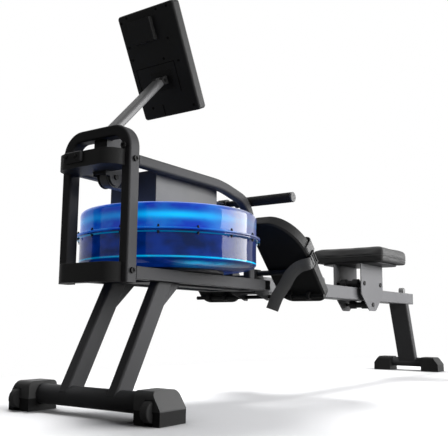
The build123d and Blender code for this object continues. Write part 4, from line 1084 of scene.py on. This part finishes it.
# pull strap: yoke, over the front pulley, back and turned upright onto the drum
pullSizes = {"width": 0.025, "thick": 0.0016, "pulley": (-233.0, 563.7), "radius": 22.1, "yoke": (241.8, 571.0),
             "flat": -152.0, "lead": (-41.5, 30.1, 539.5), "slot": 116.0, "runSteps": 30, "arcSteps": 16,
             "flatSteps": 4, "turnSteps": 12}


def buildPullStrap():
    s = pullSizes
    px, pz = s["pulley"]
    yokeX, yokeZ = s["yoke"]
    leadX, leadY, leadZ = s["lead"]
    radius = s["radius"]
    route = []
    for k in range(s["runSteps"] + 1):
        share = k / s["runSteps"]
        route.append(at(yokeX + (px - yokeX) * share, 0, yokeZ + (pz + radius - yokeZ) * share))
    for k in range(1, s["arcSteps"] + 1):
        turn = math.radians(90 + 180 * k / s["arcSteps"])
        route.append(at(px + radius * math.cos(turn), 0, pz + radius * math.sin(turn)))
    for k in range(1, s["flatSteps"] + 1):
        route.append(at(px + (s["flat"] - px) * k / s["flatSteps"], 0, pz - radius))
    ways = [Vector((0, 1, 0))] * len(route)
    for k in range(1, s["turnSteps"] + 1):
        share = k / s["turnSteps"]
        ease = share * share * (3 - 2 * share)
        turn = ease * math.pi / 2
        route.append(at(s["flat"] + (leadX - s["flat"]) * share, leadY * ease,
                        pz - radius + (leadZ - pz + radius) * ease))
        ways.append(Vector((0, math.cos(turn), math.sin(turn))))
    route.append(at(0, leadY, leadZ))
    ways.append(Vector((0, 0, 1)))
    mesh = bandMesh("pullStrap", route, ways, s["width"], s["thick"])
    mesh.materials.append(finishes["webbing"])
    strap = bareObject("pullStrap", mesh)
    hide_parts("drive_strap")
    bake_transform(strap)


buildPullStrap()
print("pull strap done")


# console: hinge panel, near-black screws and painted seam shadows on the back, bezel and plain digits in front
consoleSizes = {"hinge": (-53.5, 868.8), "tilt": 26.2, "hingeUp": 0.098, "hingeBack": 0.014, "thick": 0.028,
                "sink": 0.0002, "panel": (0.036, 0.072, 0.124, 0.0016), "round": 0.0006,
                "screen": (0.075, 0.118, 0.286), "bezel": 0.005, "bezelRise": 0.0014,
                "window": (0.062, 0.131, 0.275), "windowFrom": 0.0001, "windowTo": 0.0004,
                "screwRadius": 0.0036, "screwHeight": 0.0018, "seamRise": 0.0005}
# across and up from the case's lower edge
consoleScrews = ((-0.075, 0.285), (-0.039, 0.285), (0.066, 0.286), (0.089, 0.276), (-0.054, 0.204), (0.084, 0.207),
                 (-0.023, 0.155), (-0.070, 0.140), (0.083, 0.172), (0.059, 0.031), (-0.082, 0.016))
# left, right, bottom and top of each painted seam shadow
consoleSeamShadows = ((-0.053, 0.080, 0.1420, 0.1436), (-0.0546, -0.053, 0.060, 0.1436), (0.080, 0.0816, 0.060, 0.1436),
                (0.0195, 0.0225, 0.004, 0.034))
digitSizes = {"tall": 0.030, "wide": 0.016, "stroke": 0.0028, "pitch": 0.023, "rise": 0.0003, "gap": 0.0002,
              "dot": 0.003, "dots": (0.28, 0.62),
              "rows": (("0:00", -0.046, 0.231), ("000", -0.034, 0.187), ("000", -0.034, 0.143))}


def consoleFrame():
    tilt = math.radians(consoleSizes["tilt"])
    up = Vector((-math.sin(tilt), 0, math.cos(tilt)))
    out = Vector((math.cos(tilt), 0, math.sin(tilt)))
    hinge = at(consoleSizes["hinge"][0], 0, consoleSizes["hinge"][1])
    origin = hinge - up * consoleSizes["hingeUp"] + out * consoleSizes["hingeBack"]
    return Matrix.Translation(origin) @ Matrix((Vector((0, 1, 0)), up, out)).transposed().to_4x4()


def digitBoxes(text, left, low, depth):
    # a zero is six bars, a colon two dots
    d = digitSizes
    tall, wide, stroke, dot, gap = d["tall"], d["wide"], d["stroke"], d["dot"], d["gap"]
    half = tall / 2
    zero = ((stroke, tall - stroke, wide - stroke, tall), (wide - stroke, half, wide, tall - stroke),
            (wide - stroke, stroke, wide, half), (stroke, 0, wide - stroke, stroke), (0, stroke, stroke, half),
            (0, half, stroke, tall - stroke))
    colon = [((wide - dot) / 2, tall * level, (wide + dot) / 2, tall * level + dot) for level in d["dots"]]
    boxes = []
    for place, character in enumerate(text):
        start = left + place * d["pitch"]
        for y0, u0, y1, u1 in colon if character == ":" else zero:
            boxes.append(((start + y0 + gap, low + u0 + gap, depth),
                          (start + y1 - gap, low + u1 - gap, depth + d["rise"])))
    return boxes


def buildConsole():
    s = consoleSizes
    place = consoleFrame()
    half, low, high, rise = s["panel"]
    trim = [((-half, low, -rise), (half, high, s["sink"]))]
    boxPiece("consoleTrim", trim, place, "monitor", "cover_plastic", s["round"])
    backWay = place.to_3x3() @ Vector((0, 0, -1))
    spots = [(place @ Vector((across, up, 0.0)), backWay) for across, up in consoleScrews]
    # the screw heads are real; their near-black colour is painted shade of the holes
    screwPiece("consoleScrews", spots, s["screwRadius"], s["screwHeight"], "well", "monitor", "cover_plastic")
    seamShadows = [((left, bottom, -s["seamRise"]), (right, top, s["sink"]))
             for left, right, bottom, top in consoleSeamShadows]
    boxPiece("consoleSeamShadows", seamShadows, place, "monitor", "cover_plastic", finish=finishes["well"])

    wide, low, high = s["screen"]
    front = s["thick"]
    edge = s["bezel"]
    raised = front + s["bezelRise"]
    sides = [((-wide - edge, low - edge, front), (-wide, high + edge, raised)),
             ((wide, low - edge, front), (wide + edge, high + edge, raised)),
             ((-wide, low - edge, front), (wide, low, raised)),
             ((-wide, high, front), (wide, high + edge, raised))]
    boxPiece("consoleBezel", sides, place, "monitor", "cover_plastic", s["round"])
    half, low, high = s["window"]
    glass = front + s["windowTo"]
    window = [((-half, low, front + s["windowFrom"]), (half, high, glass))]
    boxPiece("displayPanel", window, place, "monitor", "screen", finish=displayGrey)
    marks = [box for text, left, bottom in digitSizes["rows"] for box in digitBoxes(text, left, bottom, glass)]
    boxPiece("displayDigits", marks, place, "monitor", "screen", finish=displayInk)


buildConsole()
print("console done")


# rounded clamp with two bolts on the guard
clampSizes = {"low": (-336.0, -4.0, 586.5), "high": (-326.5, 56.0, 613.0), "round": 0.0046,
              "roundSteps": 4, "bolts": ((13.6, 601.0), (45.0, 602.0)), "boltRadius": 0.0066, "boltHeight": 0.004}


def buildClamp():
    s = clampSizes
    plate = [(at(*s["low"]), at(*s["high"]))]
    boxPiece("guardClamp", plate, Matrix.Identity(4), "frame", "frame_paint", s["round"], s["roundSteps"])
    spots = [(at(s["low"][0], y, z), (-1, 0, 0)) for y, z in s["bolts"]]
    screwPiece("guardClampBolts", spots, s["boltRadius"], s["boltHeight"], "steel", "frame", "steel")


# screws that hold the drive cover
coverScrews = {"x": (-132.0, 96.0), "y": (-60.0, 60.0), "z": 593.7, "radius": 0.0046, "height": 0.0032}


def buildCoverScrews():
    s = coverScrews
    spots = [(at(x, y, s["z"]), (0, 0, 1)) for x in s["x"] for y in s["y"]]
    screwPiece("coverScrews", spots, s["radius"], s["height"], "steel", "frame", "steel")


buildClamp()
buildCoverScrews()
print("clamp and cover screws done")


# stage: pale floor, white surroundings, soft lamps and the photograph's camera
stageSettings = {"floorSize": 40.0, "floorColour": (0.84, 0.84, 0.85, 1.0), "bounce": (0.25, 0.25, 0.25, 1.0),
                 "floorRough": 0.9, "contactShade": (0.0, 0.0, 0.0, 1.0), "contactShadeReach": 0.20, "ambient": 0.03,
                 "fadeFrom": 0.62, "fadeTo": 1.12, "shadeMiddle": 0.12, "shadeLong": 0.45, "lampsAt": (0.5, 0, 0.4)}
cameraSettings = {"fromTank": (-1.4052, -1.1682, 0.2125), "yaw": 35.05, "pitch": 8.89, "roll": 0.5,
                  "focalPixels": 675.0, "widthPixels": 448.0, "sensor": 36.0}
lampSettings = {
    "sideSoftbox": {"from": (2.9, -3.05, 1.3), "size": (3.9, 2.6), "power": 270.0, "gloss": True, "matt": True},
    "glossSoftbox": {"from": (2.9, -3.06, 1.3), "size": (3.9, 2.6), "power": 150.0, "gloss": True, "matt": False},
    "fillSoftbox": {"from": (0.1, -4.4, 1.8), "size": (2.2, 2.2), "power": 190.0, "gloss": False, "matt": True},
    "topSoftbox": {"from": (0.9, 1.7, 3.7), "size": (1.8, 1.2), "power": 190.0, "gloss": False, "matt": True},
}


def seenStrength(kit):
    # 1 where the background is looked at, straight, in a gloss or through glass
    path = kit.node("ShaderNodeLightPath")
    looks = kit.out(path, "Is Camera Ray") + kit.out(path, "Is Glossy Ray") + kit.out(path, "Is Transmission Ray")
    return looks.calc("MINIMUM", 1.0)


def buildFloor():
    # white far off, shaded near the object, with a painted contact shadow where something stands close
    s = stageSettings
    half = s["floorSize"] / 2
    mesh = bpy.data.meshes.new("studioFloor")
    mesh.from_pydata([(-half, -half, 0), (half, -half, 0), (half, half, 0), (-half, half, 0)], [], [(0, 1, 2, 3)])
    floor = bareObject("studioFloor", mesh)
    material, kit, shader, place = startMaterial("paleFloor")
    seen = kit.out(kit.node("ShaderNodeLightPath"), "Is Camera Ray")
    # painted contact shadow: the floor's colour darkens wherever something stands close
    closeShade = kit.node("ShaderNodeAmbientOcclusion", None, {"Distance": s["contactShadeReach"]})
    shown = kit.mixColour(kit.out(closeShade, "AO"), s["contactShade"], s["floorColour"])
    feed(kit, shader, colour=kit.mixColour(seen, s["bounce"], shown), rough=s["floorRough"], specular=0.0)
    long = (kit.axis(place, "X") - s["shadeMiddle"]) * s["shadeLong"]
    wide = kit.axis(place, "Y")
    away = (long * long + wide * wide).calc("SQRT")
    fade = kit.node("ShaderNodeMapRange", {"interpolation_type": "SMOOTHSTEP"},
                    {"Value": away, "From Min": s["fadeFrom"], "From Max": s["fadeTo"], "To Min": 1.0,
                     "To Max": 0.0})
    white = kit.node("ShaderNodeEmission", None, {"Strength": seenStrength(kit)})
    blend = kit.node("ShaderNodeMixShader", None, {"Fac": kit.out(fade)})
    kit.tree.links.new(white.outputs[0], blend.inputs[1])
    kit.tree.links.new(shader.outputs[0], blend.inputs[2])
    kit.tree.links.new(blend.outputs[0], kit.tree.nodes["Material Output"].inputs["Surface"])
    mesh.materials.append(material)


def buildWorld():
    world = bpy.data.worlds.new("whiteStudio")
    world.use_nodes = True
    kit = Kit(world.node_tree)
    background = world.node_tree.nodes["Background"]
    strength = seenStrength(kit) * (1.0 - stageSettings["ambient"]) + stageSettings["ambient"]
    background.inputs["Color"].default_value = (1, 1, 1, 1)
    world.node_tree.links.new(strength.socket, background.inputs["Strength"])
    bpy.context.scene.world = world


def fromTank(place):
    return Vector(place) + Vector((tankX, 0, 0))


def aimedMatrix(eye, target):
    turn = (target - eye).to_track_quat("-Z", "Y")
    return Matrix.Translation(eye) @ turn.to_matrix().to_4x4()


def buildLamps():
    for name, lamp in lampSettings.items():
        data = bpy.data.lights.new(name, "AREA")
        data.shape = "RECTANGLE"
        data.size, data.size_y = lamp["size"]
        data.energy = lamp["power"]
        made = bareObject(name, data)
        made.visible_glossy = lamp["gloss"]
        made.visible_diffuse = lamp["matt"]
        made.matrix_world = aimedMatrix(fromTank(lamp["from"]), fromTank(stageSettings["lampsAt"]))


def buildCamera():
    yaw, pitch, roll = (math.radians(cameraSettings[key]) for key in ("yaw", "pitch", "roll"))
    ahead = Vector((math.cos(pitch) * math.cos(yaw), math.cos(pitch) * math.sin(yaw), math.sin(pitch)))
    right = Vector((math.sin(yaw), -math.cos(yaw), 0))
    up = right.cross(ahead)
    tiltedRight = math.cos(roll) * right + math.sin(roll) * up
    tiltedUp = math.cos(roll) * up - math.sin(roll) * right
    data = bpy.data.cameras.new("photoCamera")
    data.sensor_width = cameraSettings["sensor"]
    data.lens = cameraSettings["sensor"] * cameraSettings["focalPixels"] / cameraSettings["widthPixels"]
    camera = bareObject("photoCamera", data)
    turn = Matrix((tiltedRight, tiltedUp, -ahead)).transposed().to_4x4()
    camera.matrix_world = Matrix.Translation(fromTank(cameraSettings["fromTank"])) @ turn
    bpy.context.scene.camera = camera


buildFloor()
buildWorld()
buildLamps()
buildCamera()
bpy.context.scene.view_settings.view_transform = "Standard"
print("stage set")
